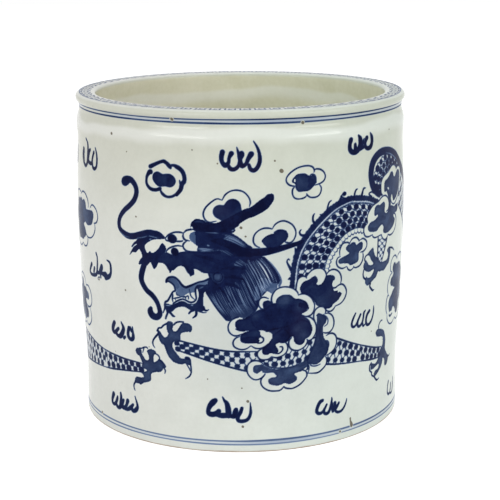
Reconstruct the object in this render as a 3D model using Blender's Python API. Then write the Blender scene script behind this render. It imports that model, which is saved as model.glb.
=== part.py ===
"""Porcelain brush pot: one thrown cylinder with a rolled rim, a shallow neck and a turned foot.

The fired pot is a single piece of ceramic, so the model is one closed body, turned about +Z.
It stands on z = 0 with its axis at the origin. Lengths are in metres and angles in degrees.
A profile point is (radius, height).
"""

import math

import bmesh
import bpy

# Overall size
POT_HEIGHT = 0.198  # table to the flat of the lip
RIM_RADIUS = 0.1001  # outermost ring of the rolled rim

# Rolled rim, lip and mouth
ROLL_RADIUS = 0.0027  # rounding of the rim's outer edge
LIP_WIDTH = 0.0123  # mouth edge to the rim's outermost ring
MOUTH_ROUNDING = 0.0021  # rounding of the lip's inner edge

# Outer wall, from the top down: how far a ring lies below the lip, and inside the rim's radius
NECK_DROP = 0.0084
NECK_INSET = 0.0019
SHOULDER_DROP = 0.0170
SHOULDER_INSET = 0.0002
SADDLE_DROP = 0.0258
SADDLE_INSET = 0.0006

# Outer wall between saddle and foot: swell or inset from the rim's radius, at a share of that stretch
BARREL_CURVE = (
    (0.87, 0.0002),
    (0.72, 0.0007),
    (0.54, 0.0001),
    (0.39, -0.0006),
    (0.27, -0.0020),
    (0.14, -0.0026),
)

# Foot, floor and inside
FOOT_INSET = 0.0022  # wall just above the foot, inside the rim's radius
FOOT_BEVEL = 0.0006  # worn edge where the wall meets the table
FOOT_RING_WIDTH = 0.0115  # flat ring that the pot stands on
FOOT_RECESS = 0.0030  # hollow turned out inside the foot ring
RECESS_SLOPE = 0.0020  # width of the recess's slanting side
WALL_THICKNESS = 0.0092  # at the foot, measured inwards
FLOOR_THICKNESS = 0.0105  # above the recess
FLOOR_ROUNDING = 0.0120  # fillet between floor and inner wall
LIP_UNDERCUT = 0.0165  # height over which the thick lip thins down to the wall

# Fineness of the turned surface
SEGMENTS = 96  # around the axis
WALL_STEPS = 2  # profile points for each stretch of the outer wall
ROLL_STEPS = 6
MOUTH_STEPS = 3
FILLET_STEPS = 5
MERGE_DISTANCE = 1e-6

GLAZE_COLOUR = (0.70, 0.72, 0.66, 1.0)
GLAZE_ROUGHNESS = 0.16


def clear_scene():
    """Remove every object, so that the file holds only the pot."""
    for obj in list(bpy.data.objects):
        bpy.data.objects.remove(obj, do_unlink=True)


def arc(center, radius, start, end, steps):
    """Points on a circular arc, from the start angle to the end angle, both ends included."""
    points = []
    for i in range(steps + 1):
        angle = math.radians(start + (end - start) * i / steps)
        points.append((center[0] + radius * math.cos(angle), center[1] + radius * math.sin(angle)))
    return points


def smooth_wall(keys, steps):
    """A curve through keys that rise in height, which never swells past its highest or lowest key."""
    slopes = [0.0]
    for before, here, after in zip(keys, keys[1:], keys[2:]):
        below = (here[0] - before[0]) / (here[1] - before[1])
        above = (after[0] - here[0]) / (after[1] - here[1])
        slopes.append(2 * below * above / (below + above) if below * above > 0 else 0.0)
    slopes.append(0.0)
    points = []
    for (low, high), (low_slope, high_slope) in zip(zip(keys, keys[1:]), zip(slopes, slopes[1:])):
        rise = high[1] - low[1]
        for i in range(steps):
            t = i / steps
            ease = t * t * (3 - 2 * t)
            bend = rise * (low_slope * t * (1 - t) ** 2 - high_slope * t * t * (1 - t))
            points.append((low[0] + (high[0] - low[0]) * ease + bend, low[1] + rise * t))
    points.append(keys[-1])
    return points


def outer_wall():
    """The wall from the top of the foot's worn edge to the neck."""
    saddle_height = POT_HEIGHT - SADDLE_DROP
    keys = [(RIM_RADIUS - FOOT_INSET, FOOT_BEVEL)]
    for share, swell in reversed(BARREL_CURVE):
        keys.append((RIM_RADIUS + swell, FOOT_BEVEL + share * (saddle_height - FOOT_BEVEL)))
    keys.append((RIM_RADIUS - SADDLE_INSET, saddle_height))
    keys.append((RIM_RADIUS - SHOULDER_INSET, POT_HEIGHT - SHOULDER_DROP))
    keys.append((RIM_RADIUS - NECK_INSET, POT_HEIGHT - NECK_DROP))
    return smooth_wall(keys, WALL_STEPS)


def rolled_rim():
    """The rounded outer edge, from just above the neck over to the flat of the lip."""
    center = (RIM_RADIUS - ROLL_RADIUS, POT_HEIGHT - ROLL_RADIUS)
    return arc(center, ROLL_RADIUS, -42, 90, ROLL_STEPS)


def mouth_and_inside():
    """The lip's inner edge, the inner wall, the fillet and the floor's centre."""
    mouth_radius = RIM_RADIUS - LIP_WIDTH
    inner_radius = RIM_RADIUS - FOOT_INSET - WALL_THICKNESS
    floor_height = FOOT_RECESS + FLOOR_THICKNESS
    mouth_center = (mouth_radius + MOUTH_ROUNDING, POT_HEIGHT - MOUTH_ROUNDING)
    mouth = arc(mouth_center, MOUTH_ROUNDING, 90, 180, MOUTH_STEPS)
    lip_underside = (inner_radius, POT_HEIGHT - MOUTH_ROUNDING - LIP_UNDERCUT)
    fillet_center = (inner_radius - FLOOR_ROUNDING, floor_height + FLOOR_ROUNDING)
    fillet = arc(fillet_center, FLOOR_ROUNDING, 0, -90, FILLET_STEPS)
    return mouth + [lip_underside] + fillet + [(0.0, floor_height)]


def underside():
    """The recessed base from its centre outwards, the foot ring and its worn outer edge."""
    ring_outer = RIM_RADIUS - FOOT_INSET - FOOT_BEVEL
    ring_inner = ring_outer - FOOT_RING_WIDTH
    return [
        (0.0, FOOT_RECESS),
        (ring_inner - RECESS_SLOPE, FOOT_RECESS),
        (ring_inner, 0.0),
        (ring_outer, 0.0),
    ]


def turn_profile(name, profile):
    """Turn a profile that starts and ends on the axis into one closed mesh."""
    mesh = bpy.data.meshes.new(name)
    shape = bmesh.new()
    verts = [shape.verts.new((radius, 0.0, height)) for radius, height in profile]
    edges = [shape.edges.new(pair) for pair in zip(verts, verts[1:])]
    bmesh.ops.spin(
        shape,
        geom=verts + edges,
        cent=(0.0, 0.0, 0.0),
        axis=(0.0, 0.0, 1.0),
        angle=math.tau,
        steps=SEGMENTS,
    )
    bmesh.ops.remove_doubles(shape, verts=shape.verts, dist=MERGE_DISTANCE)
    bmesh.ops.recalc_face_normals(shape, faces=shape.faces)
    shape.to_mesh(mesh)
    shape.free()
    mesh.shade_smooth()
    mesh.set_sharp_from_angle(angle=math.radians(40))
    return mesh


def glazed_porcelain():
    """Off-white glaze with a faint green-grey cast."""
    material = bpy.data.materials.new("glazed_porcelain")
    material.use_nodes = True
    shader = material.node_tree.nodes["Principled BSDF"]
    shader.inputs["Base Color"].default_value = GLAZE_COLOUR
    shader.inputs["Roughness"].default_value = GLAZE_ROUGHNESS
    shader.inputs["Metallic"].default_value = 0.0
    return material


def pot_body():
    """The whole pot: wall, rim, inside, floor and foot in one piece of clay."""
    profile = underside() + outer_wall() + rolled_rim() + mouth_and_inside()
    pot = bpy.data.objects.new("pot_body", turn_profile("pot_body", profile))
    pot.data.materials.append(glazed_porcelain())
    bpy.context.scene.collection.objects.link(pot)
    return pot


clear_scene()
pot_body()
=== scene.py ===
"""Large blue-and-white brush pot: a thrown porcelain cylinder, painted with a dragon among clouds.

The pot is one closed turned body. The cobalt painting lies on it as thin closed films that follow the
wall, each carrying the strength of its brushwork as a vertex attribute. The painted wall is laid out
flat as (s, z) in millimetres: z is the height, and s is 100 times the angle round the pot in radians,
zero at the front and growing to the right, so a turn is 628.3 mm.
"""

import logging
import math
from dataclasses import dataclass
from enum import Enum
from typing import Callable, Iterable, Sequence

import bpy
import numpy as np
from mathutils import Euler, Matrix, Vector


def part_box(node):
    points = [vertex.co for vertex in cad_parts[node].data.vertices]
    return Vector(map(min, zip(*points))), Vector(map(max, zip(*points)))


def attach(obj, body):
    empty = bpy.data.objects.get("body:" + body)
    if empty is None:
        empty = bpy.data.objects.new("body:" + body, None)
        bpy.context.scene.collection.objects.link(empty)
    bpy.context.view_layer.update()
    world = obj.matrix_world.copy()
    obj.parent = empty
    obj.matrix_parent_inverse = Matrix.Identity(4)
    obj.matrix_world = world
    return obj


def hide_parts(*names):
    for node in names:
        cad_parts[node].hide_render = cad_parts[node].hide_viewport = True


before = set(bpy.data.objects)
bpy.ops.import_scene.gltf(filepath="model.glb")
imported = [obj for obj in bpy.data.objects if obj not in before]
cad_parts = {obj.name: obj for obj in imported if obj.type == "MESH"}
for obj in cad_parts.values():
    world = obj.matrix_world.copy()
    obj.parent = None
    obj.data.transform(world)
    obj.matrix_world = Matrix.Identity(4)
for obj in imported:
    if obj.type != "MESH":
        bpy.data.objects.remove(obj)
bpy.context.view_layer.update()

LOG = logging.getLogger("brush_pot")
MM = 0.001
RADIAN = 100.0  # millimetres of s in one radian round the pot
TURN = 200.0 * math.pi
LEAST = 1e-12  # keeps logarithms and shares finite
FACE_MAP = (0.005, 0.93)  # start and span of a film's face in its map
BACK_MAP = (0.945, 0.05)  # start and span of its hidden back
EDGE_INSET = 0.3  # how far the film's rim is drawn in on the map, in cells

Point = tuple[float, float]
Dab = tuple[float, float, float]


# ---------------------------------------------------------------- shader helpers


def srgb(red: float, green: float, blue: float) -> tuple[float, float, float, float]:
    """Turn a screen colour of 0 to 255 a channel into linear light, opaque."""
    channels = []
    for value in (red, green, blue):
        share = value / 255.0
        channels.append(share / 12.92 if share <= 0.04045 else ((share + 0.055) / 1.055) ** 2.4)
    return channels[0], channels[1], channels[2], 1.0


class Graph:
    """Adds nodes to one node tree and joins them."""

    def __init__(self, tree: bpy.types.NodeTree) -> None:
        """Start on a tree.

        Args:
            tree: the tree that gets the nodes.
        """
        self.tree = tree

    def node(self, kind: str, inputs: dict | None = None, **settings: object) -> bpy.types.Node:
        """Add one node.

        Args:
            kind: the node's type, such as ShaderNodeMix.
            inputs: a plain value, or the output socket to link, for each input by name or number.
            **settings: properties of the node.

        Returns:
            The new node.
        """
        made = self.tree.nodes.new(kind)
        for key, value in settings.items():
            setattr(made, key, value)
        for key, value in (inputs or {}).items():
            socket = made.inputs[key]
            if isinstance(value, bpy.types.NodeSocket):
                self.tree.links.new(value, socket)
            else:
                socket.default_value = value
        return made

    def math(self, operation: str, first: object, second: object = 0.0, clamp: bool = False) -> object:
        """One sum on two numbers; returns its output socket."""
        made = self.node("ShaderNodeMath", {0: first, 1: second}, operation=operation, use_clamp=clamp)
        return made.outputs[0]

    def noise(self, vector: object, scale: float, detail: float = 3.0, rough: float = 0.5) -> object:
        """Smooth noise from 0 to 1 at a scale in cells a metre; returns its output socket."""
        inputs = {"Vector": vector, "Scale": scale, "Detail": detail, "Roughness": rough}
        return self.node("ShaderNodeTexNoise", inputs).outputs["Fac"]

    def spread(self, value: object, low: float, high: float, to_low: float, to_high: float) -> object:
        """Map a number smoothly from one range to another; returns the output socket."""
        inputs = {0: value, 1: low, 2: high, 3: to_low, 4: to_high}
        return self.node("ShaderNodeMapRange", inputs, interpolation_type="SMOOTHSTEP").outputs[0]

    def mix(self, share: object, first: object, second: object, blend: str = "MIX") -> object:
        """Blend two colours by a share; returns the output socket."""
        made = self.node(
            "ShaderNodeMix", {0: share, 6: first, 7: second}, data_type="RGBA", blend_type=blend,
        )
        return made.outputs[2]

    def ramp(self, value: object, stops: Sequence[tuple[float, Sequence[float]]]) -> object:
        """Colour ramp through stops of (place, colour); returns its colour socket."""
        made = self.node("ShaderNodeValToRGB", {0: value})
        elements = made.color_ramp.elements
        while len(elements) < len(stops):
            elements.new(0.5)
        for element, (place, colour) in zip(elements, stops):
            element.position = place
            element.color = colour
        return made.outputs[0]


class GroupBuilder:
    """Makes a shader node group with named sockets."""

    KINDS = {"value": "NodeSocketFloat", "color": "NodeSocketColor", "vector": "NodeSocketVector"}

    def __init__(self, name: str, inputs: dict[str, str], outputs: dict[str, str]) -> None:
        """Make an empty group.

        Args:
            name: the group's name.
            inputs: kind of each input by name.
            outputs: kind of each output by name.
        """
        self.tree = bpy.data.node_groups.new(name, "ShaderNodeTree")
        for label, kind in inputs.items():
            self.tree.interface.new_socket(name=label, in_out="INPUT", socket_type=self.KINDS[kind])
        for label, kind in outputs.items():
            self.tree.interface.new_socket(name=label, in_out="OUTPUT", socket_type=self.KINDS[kind])
        self.graph = Graph(self.tree)
        self.given = self.graph.node("NodeGroupInput").outputs
        self.result = self.graph.node("NodeGroupOutput").inputs

    def put_out(self, label: str, socket: object) -> None:
        """Join a socket to the group's output of that name."""
        self.tree.links.new(socket, self.result[label])


# ---------------------------------------------------------------- glaze and cobalt


# Places on the pot where the glaze changes, and where its painted shade and highlight lie, in metres
TOP_SHADE_RISE = (0.11, 0.20)  # heights over which painted shade comes in, darker and warmer towards the top
TOP_SHADE_END = (0.1966, 0.1976)  # heights over which it stops at the lip's edge
NECK_HIGHLIGHT_RISE = (0.186, 0.192)  # heights where the painted highlight of neck and rim bead comes in
NECK_HIGHLIGHT_END = (0.1945, 0.1975)  # heights over which it stops
FRONT_SHADE_CENTRE = (0.016, -0.100, 0.090)  # middle of the painted shade over the front of the pot
FRONT_SHADE_REACH = (0.030, 0.085)  # distances from there over which the painted shade fades
SIDE_REACH = 0.09  # from this far left to this far right the glaze turns from rosy to green

# colour and share of the painted highlight round the neck and rim bead
NECK_HIGHLIGHT_TINT = (0.9, 0.93, 0.9, 1.0)
NECK_HIGHLIGHT_SHARE = 0.42
# tint of the painted shade over the front of the pot, slightly bluish
FRONT_SHADE_TINT = srgb(237, 239, 242)
ROSY_TINT = (1.012, 0.988, 1.005, 1.0)
GREEN_TINT = (0.975, 1.012, 1.008, 1.0)
RUST_TINT = srgb(50, 40, 64)
RUST_SHARE = 0.22

# Specks and pits: cells a metre, the chance above which a cell has one, and its greatest size in the cell
SPECK_CELLS = 95.0
SPECK_CHANCE = 0.80
SPECK_SIZE = 0.062
PIT_CELLS = 240.0
PIT_CHANCE = 0.86
PIT_SIZE = 0.09

# Strength of the brushed cobalt, and its colour under the glaze
COBALT_TONES = (
    (0.05, srgb(190, 204, 226)),
    (0.28, srgb(114, 134, 166)),
    (0.44, srgb(66, 86, 122)),
    (0.60, srgb(44, 59, 93)),
    (0.74, srgb(27, 42, 78)),
    (0.88, srgb(14, 26, 66)),
    (1.00, srgb(5, 11, 46)),
)


def build_glaze_ground() -> bpy.types.NodeTree:
    """Group for the uncoloured glaze: its mottled white, specks, pits and slight unevenness, with painted
    shade towards the top and over the front, and a painted highlight round the neck and rim bead.

    Returns:
        The group, with inputs Vector, Pale, Shade, Pooled and Speck, and outputs Color, Roughness
        and Height.
    """
    group = GroupBuilder(
        "glaze_ground",
        {"Vector": "vector", "Pale": "color", "Shade": "color", "Top Shade": "color", "Speck": "color"},
        {"Color": "color", "Roughness": "value", "Height": "value"},
    )
    g = group.graph
    where = group.given["Vector"]
    broad = g.noise(where, 14.0, 2.0)
    cloudy = g.noise(where, 70.0, 4.0, 0.55)
    curd = g.noise(where, 420.0, 3.0, 0.6)
    mottle = g.math("ADD", g.math("MULTIPLY", cloudy, 0.40), g.math("MULTIPLY", broad, 0.35))
    mottle = g.math("ADD", mottle, g.math("MULTIPLY", curd, 0.25))
    shade = g.spread(mottle, 0.28, 0.72, 0.0, 1.0)
    colour = g.mix(shade, group.given["Shade"], group.given["Pale"])
    parts = g.node("ShaderNodeSeparateXYZ", {0: where})
    rise = g.math("ADD", parts.outputs[2], g.math("MULTIPLY", broad, 0.02))
    # painted shade: the glaze is made darker and warmer towards the top, stopping at the lip's edge
    come, stop = g.spread(rise, *TOP_SHADE_RISE, 0.0, 1.0), g.spread(parts.outputs[2], *TOP_SHADE_END, 1.0, 0.0)
    thick_and_top_shade = g.math("MULTIPLY", come, stop)
    colour = g.mix(thick_and_top_shade, colour, g.mix(1.0, colour, group.given["Top Shade"], "MULTIPLY"))
    # painted highlight: the glaze is mixed towards white round the neck and rim bead
    thin = g.math("MULTIPLY", g.spread(rise, *NECK_HIGHLIGHT_RISE, 0.0, 1.0), g.spread(rise, *NECK_HIGHLIGHT_END, 1.0, 0.0))
    colour = g.mix(g.math("MULTIPLY", thin, NECK_HIGHLIGHT_SHARE), colour, NECK_HIGHLIGHT_TINT)
    # painted shade: a broad darker patch over the front of the pot, fading outwards
    apart = g.node("ShaderNodeVectorMath", {0: where, 1: FRONT_SHADE_CENTRE}, operation="DISTANCE")
    away = g.math("ADD", apart.outputs["Value"], g.math("MULTIPLY", broad, 0.01))
    front_shade = g.spread(away, *FRONT_SHADE_REACH, 1.0, 0.0)
    colour = g.mix(front_shade, colour, g.mix(1.0, colour, FRONT_SHADE_TINT, "MULTIPLY"))
    side = g.spread(parts.outputs[0], -SIDE_REACH, SIDE_REACH, 0.0, 1.0)
    colour = g.mix(1.0, colour, g.mix(side, ROSY_TINT, GREEN_TINT), "MULTIPLY")
    cells = g.node("ShaderNodeTexVoronoi", {"Vector": where, "Scale": SPECK_CELLS, "Randomness": 1.0})
    chance = g.node("ShaderNodeSeparateColor", {0: cells.outputs["Color"]})
    wide = g.spread(chance.outputs[0], SPECK_CHANCE, 1.0, 0.0, SPECK_SIZE)
    rest = g.math("SUBTRACT", wide, cells.outputs["Distance"])
    speck = g.spread(rest, 0.0, 0.018, 0.0, 0.75)
    colour = g.mix(speck, colour, group.given["Speck"])
    pits = g.node("ShaderNodeTexVoronoi", {"Vector": where, "Scale": PIT_CELLS, "Randomness": 1.0})
    pit_chance = g.node("ShaderNodeSeparateColor", {0: pits.outputs["Color"]})
    pit_size = g.spread(pit_chance.outputs[1], PIT_CHANCE, 1.0, 0.0, PIT_SIZE)
    pit = g.spread(g.math("SUBTRACT", pit_size, pits.outputs["Distance"]), 0.0, 0.05, 0.0, 1.0)
    rough = g.spread(cloudy, 0.3, 0.7, 0.10, 0.19)
    rough = g.math("ADD", rough, g.math("MULTIPLY", pit, 0.25))
    height = g.math("ADD", g.math("MULTIPLY", broad, 1.6), g.math("MULTIPLY", cloudy, 0.55))
    height = g.math("ADD", height, g.math("MULTIPLY", curd, 0.07))
    height = g.math("SUBTRACT", height, g.math("MULTIPLY", pit, 0.35))
    group.put_out("Color", colour)
    group.put_out("Roughness", rough)
    group.put_out("Height", height)
    return group.tree


def build_throwing_rings() -> bpy.types.NodeTree:
    """Group for the faint rings that the potter's fingers leave round the pot.

    Returns:
        The group, with inputs Vector and Spacing (metres), and output Height from 0 to 1.
    """
    group = GroupBuilder("throwing_rings", {"Vector": "vector", "Spacing": "value"}, {"Height": "value"})
    g = group.graph
    parts = g.node("ShaderNodeSeparateXYZ", {0: group.given["Vector"]})
    sway = g.noise(group.given["Vector"], 9.0, 2.0)
    height = g.math("ADD", parts.outputs[2], g.math("MULTIPLY", sway, 0.006))
    turns = g.math("DIVIDE", height, group.given["Spacing"])
    wave = g.math("SINE", g.math("MULTIPLY", turns, math.tau))
    group.put_out("Height", g.spread(wave, -1.0, 1.0, 0.0, 1.0))
    return group.tree


def build_cobalt_wash() -> bpy.types.NodeTree:
    """Group that turns the strength of brushed cobalt into its colour under the glaze.

    Returns:
        The group, with inputs Vector and Strength, and outputs Color and Amount.
    """
    group = GroupBuilder(
        "cobalt_wash",
        {"Vector": "vector", "Strength": "value"},
        {"Color": "color", "Amount": "value"},
    )
    g = group.graph
    where = group.given["Vector"]
    strength = group.given["Strength"]
    pooled_and_top_shade = g.math("SUBTRACT", g.noise(where, 130.0, 4.0, 0.6), 0.5)
    grain = g.math("SUBTRACT", g.noise(where, 900.0, 2.0, 0.6), 0.5)
    swing = g.math("ADD", g.math("MULTIPLY", pooled_and_top_shade, 0.42), g.math("MULTIPLY", grain, 0.12))
    body = g.spread(strength, 0.25, 0.6, 0.0, 1.0)
    strong = g.math("ADD", strength, g.math("MULTIPLY", swing, body), clamp=True)
    rusty = g.math("MULTIPLY", g.spread(g.noise(where, 26.0, 2.0), 0.56, 0.76, 0.0, RUST_SHARE), body)
    group.put_out("Color", g.mix(rusty, g.ramp(strong, COBALT_TONES), RUST_TINT))
    group.put_out("Amount", g.spread(strength, 0.02, 0.24, 0.0, 1.0))
    return group.tree


# ---------------------------------------------------------------- finishes


@dataclass(frozen=True)
class GlazeColours:
    """The tones that the uncoloured glaze drifts between, the painted shade that darkens it towards
    the top, and its specks.
    """

    pale: tuple[float, float, float, float] = srgb(226, 230, 222)
    shade: tuple[float, float, float, float] = srgb(216, 220, 211)
    # painted shade, multiplied into the glaze towards the top
    pooled_and_top_shade: tuple[float, float, float, float] = srgb(236, 235, 227)
    speck: tuple[float, float, float, float] = srgb(120, 116, 92)
    celadon_pale: tuple[float, float, float, float] = srgb(230, 229, 208)
    celadon_shade: tuple[float, float, float, float] = srgb(213, 212, 185)
    clay: tuple[float, float, float, float] = srgb(205, 195, 182)
    clay_burnt: tuple[float, float, float, float] = srgb(168, 150, 134)


@dataclass(frozen=True)
class Groups:
    """The shader node groups that the finishes share."""

    ground: bpy.types.NodeTree
    rings: bpy.types.NodeTree
    wash: bpy.types.NodeTree


@dataclass(frozen=True)
class GlazeFinish:
    """Glossy porcelain glaze, with what the pot and its painted films have in common."""

    groups: Groups
    colours: GlazeColours = GlazeColours()
    specular: float = 0.22
    edge_start: float = 0.40
    edge_end: float = 0.85
    edge_shine: float = 0.3
    ring_spacing: float = 0.0115
    bump_strength: float = 0.55
    bump_distance: float = 0.00035

    def begin(self, name: str) -> tuple[bpy.types.Material, Graph, bpy.types.Node, object]:
        """Start a material with its shader and object coordinates.

        Args:
            name: the material's name.

        Returns:
            The material, its graph, its shader and the socket of the coordinates.
        """
        material = bpy.data.materials.new(name)
        material.use_nodes = True
        graph = Graph(material.node_tree)
        shader = material.node_tree.nodes["Principled BSDF"]
        where = graph.node("ShaderNodeTexCoord").outputs["Object"]
        return material, graph, shader, where

    def shine(self, graph: Graph, level: object) -> object:
        """A shine that leaves the pot's edges as the eye meets them; returns its socket."""
        facing = graph.node("ShaderNodeLayerWeight", {"Blend": 0.5}).outputs["Facing"]
        share = graph.spread(facing, self.edge_start, self.edge_end, 1.0, self.edge_shine)
        return graph.math("MULTIPLY", level, share)

    def ground(self, graph: Graph, where: object) -> bpy.types.Node:
        """Place the ground group with this glaze's own colours."""
        inputs = {
            "Vector": where,
            "Pale": self.colours.pale,
            "Shade": self.colours.shade,
            "Top Shade": self.colours.pooled_and_top_shade,
            "Speck": self.colours.speck,
        }
        return self.placed(graph, self.groups.ground, inputs)

    def placed(self, graph: Graph, tree: bpy.types.NodeTree, inputs: dict) -> bpy.types.Node:
        """Place a group and set its inputs."""
        node = graph.node("ShaderNodeGroup", None, node_tree=tree)
        for key, value in inputs.items():
            if isinstance(value, bpy.types.NodeSocket):
                graph.tree.links.new(value, node.inputs[key])
            else:
                node.inputs[key].default_value = value
        return node

    def relief(self, graph: Graph, where: object, ground: bpy.types.Node) -> object:
        """Bump from the glaze's unevenness and the throwing rings; returns the normal socket."""
        rings = self.placed(graph, self.groups.rings, {"Vector": where, "Spacing": self.ring_spacing})
        height = graph.math("ADD", ground.outputs["Height"], graph.math("MULTIPLY", rings.outputs[0], 0.30))
        inputs = {"Strength": self.bump_strength, "Distance": self.bump_distance, "Height": height}
        return graph.node("ShaderNodeBump", inputs).outputs[0]


@dataclass(frozen=True)
class BodyFinish(GlazeFinish):
    """The pot itself: white glaze outside, celadon inside, bare clay where it stands."""

    mouth_radius: float = 0.0893
    mouth_blend: float = 0.0006
    mouth_top: float = 0.1962
    top_blend: Point = (0.0012, 0.0004)
    floor_height: float = 0.008
    floor_blend: float = 0.001
    bare_height: float = 0.0003
    bare_blend: float = 0.0002
    foot_ring: Point = (0.0835, 0.0850)
    sway: float = 0.0012

    def material(self) -> bpy.types.Material:
        """Build the material."""
        material, g, shader, where = self.begin("white_glaze")
        ground = self.ground(g, where)
        celadon_inputs = {
            "Vector": where,
            "Pale": self.colours.celadon_pale,
            "Shade": self.colours.celadon_shade,
            "Top Shade": (1.0, 1.0, 1.0, 1.0),
            "Speck": self.colours.speck,
        }
        celadon = self.placed(g, self.groups.ground, celadon_inputs)
        parts = g.node("ShaderNodeSeparateXYZ", {0: where})
        across = g.node("ShaderNodeCombineXYZ", {0: parts.outputs[0], 1: parts.outputs[1]})
        measure = g.node("ShaderNodeVectorMath", {0: across.outputs[0]}, operation="LENGTH")
        length = measure.outputs["Value"]
        height = parts.outputs[2]
        sway = g.math("MULTIPLY", g.noise(where, 60.0, 3.0), self.sway)
        inside = g.spread(length, self.mouth_radius + self.mouth_blend, self.mouth_radius, 0.0, 1.0)
        above = g.spread(height, self.floor_height, self.floor_height + self.floor_blend, 0.0, 1.0)
        swayed = g.math("ADD", height, sway)
        start, end = self.mouth_top + self.top_blend[0], self.mouth_top - self.top_blend[1]
        below = g.spread(swayed, start, end, 0.0, 1.0)
        inner = g.math("MULTIPLY", g.math("MULTIPLY", inside, above), below)
        colour = g.mix(inner, ground.outputs["Color"], celadon.outputs["Color"])
        start, end = self.bare_height + self.bare_blend, self.bare_height - self.bare_blend
        foot = g.spread(g.math("SUBTRACT", height, sway), start, end, 0.0, 1.0)
        ring = g.spread(length, *self.foot_ring, 0.0, 1.0)
        bare = g.math("MULTIPLY", foot, ring)
        clay = g.mix(g.noise(where, 160.0, 4.0, 0.6), self.colours.clay_burnt, self.colours.clay)
        g.tree.links.new(g.mix(bare, colour, clay), shader.inputs["Base Color"])
        rough = g.math("ADD", ground.outputs["Roughness"], g.math("MULTIPLY", bare, 0.5))
        g.tree.links.new(rough, shader.inputs["Roughness"])
        g.tree.links.new(self.shine(g, self.specular), shader.inputs["Specular IOR Level"])
        g.tree.links.new(self.relief(g, where, ground), shader.inputs["Normal"])
        return material


@dataclass(frozen=True)
class CobaltFinish(GlazeFinish):
    """Blue brushwork under the same glaze, as strong as the film's own attribute says."""

    attribute: str = "cobalt"
    dense_specular: float = 0.035

    def material(self) -> bpy.types.Material:
        """Build the material; dense cobalt dulls the shine a little."""
        material, g, shader, where = self.begin("cobalt_under_glaze")
        ground = self.ground(g, where)
        strength = g.node("ShaderNodeAttribute", None, attribute_name=self.attribute).outputs["Fac"]
        wash = self.placed(g, self.groups.wash, {"Vector": where, "Strength": strength})
        colour = g.mix(wash.outputs["Amount"], ground.outputs["Color"], wash.outputs["Color"])
        g.tree.links.new(colour, shader.inputs["Base Color"])
        shine = self.shine(
            g, g.spread(wash.outputs["Amount"], 0.0, 1.0, self.specular, self.dense_specular),
        )
        g.tree.links.new(shine, shader.inputs["Specular IOR Level"])
        g.tree.links.new(ground.outputs["Roughness"], shader.inputs["Roughness"])
        g.tree.links.new(self.relief(g, where, ground), shader.inputs["Normal"])
        return material


@dataclass(frozen=True)
class IronFinish(GlazeFinish):
    """Brown iron spots and rust in the glaze, as strong as the film's own attribute says."""

    attribute: str = "cobalt"
    dark: tuple[float, float, float, float] = srgb(62, 58, 50)
    light: tuple[float, float, float, float] = srgb(118, 106, 84)

    def material(self) -> bpy.types.Material:
        """Build the material."""
        material, g, shader, where = self.begin("iron_spots")
        ground = self.ground(g, where)
        strength = g.node("ShaderNodeAttribute", None, attribute_name=self.attribute).outputs["Fac"]
        spot = g.mix(g.noise(where, 700.0), self.dark, self.light)
        amount = g.spread(strength, 0.35, 0.75, 0.0, 0.92)
        g.tree.links.new(g.mix(amount, ground.outputs["Color"], spot), shader.inputs["Base Color"])
        g.tree.links.new(self.shine(g, self.specular), shader.inputs["Specular IOR Level"])
        g.tree.links.new(ground.outputs["Roughness"], shader.inputs["Roughness"])
        g.tree.links.new(self.relief(g, where, ground), shader.inputs["Normal"])
        return material


# ---------------------------------------------------------------- the turned pot


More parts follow.
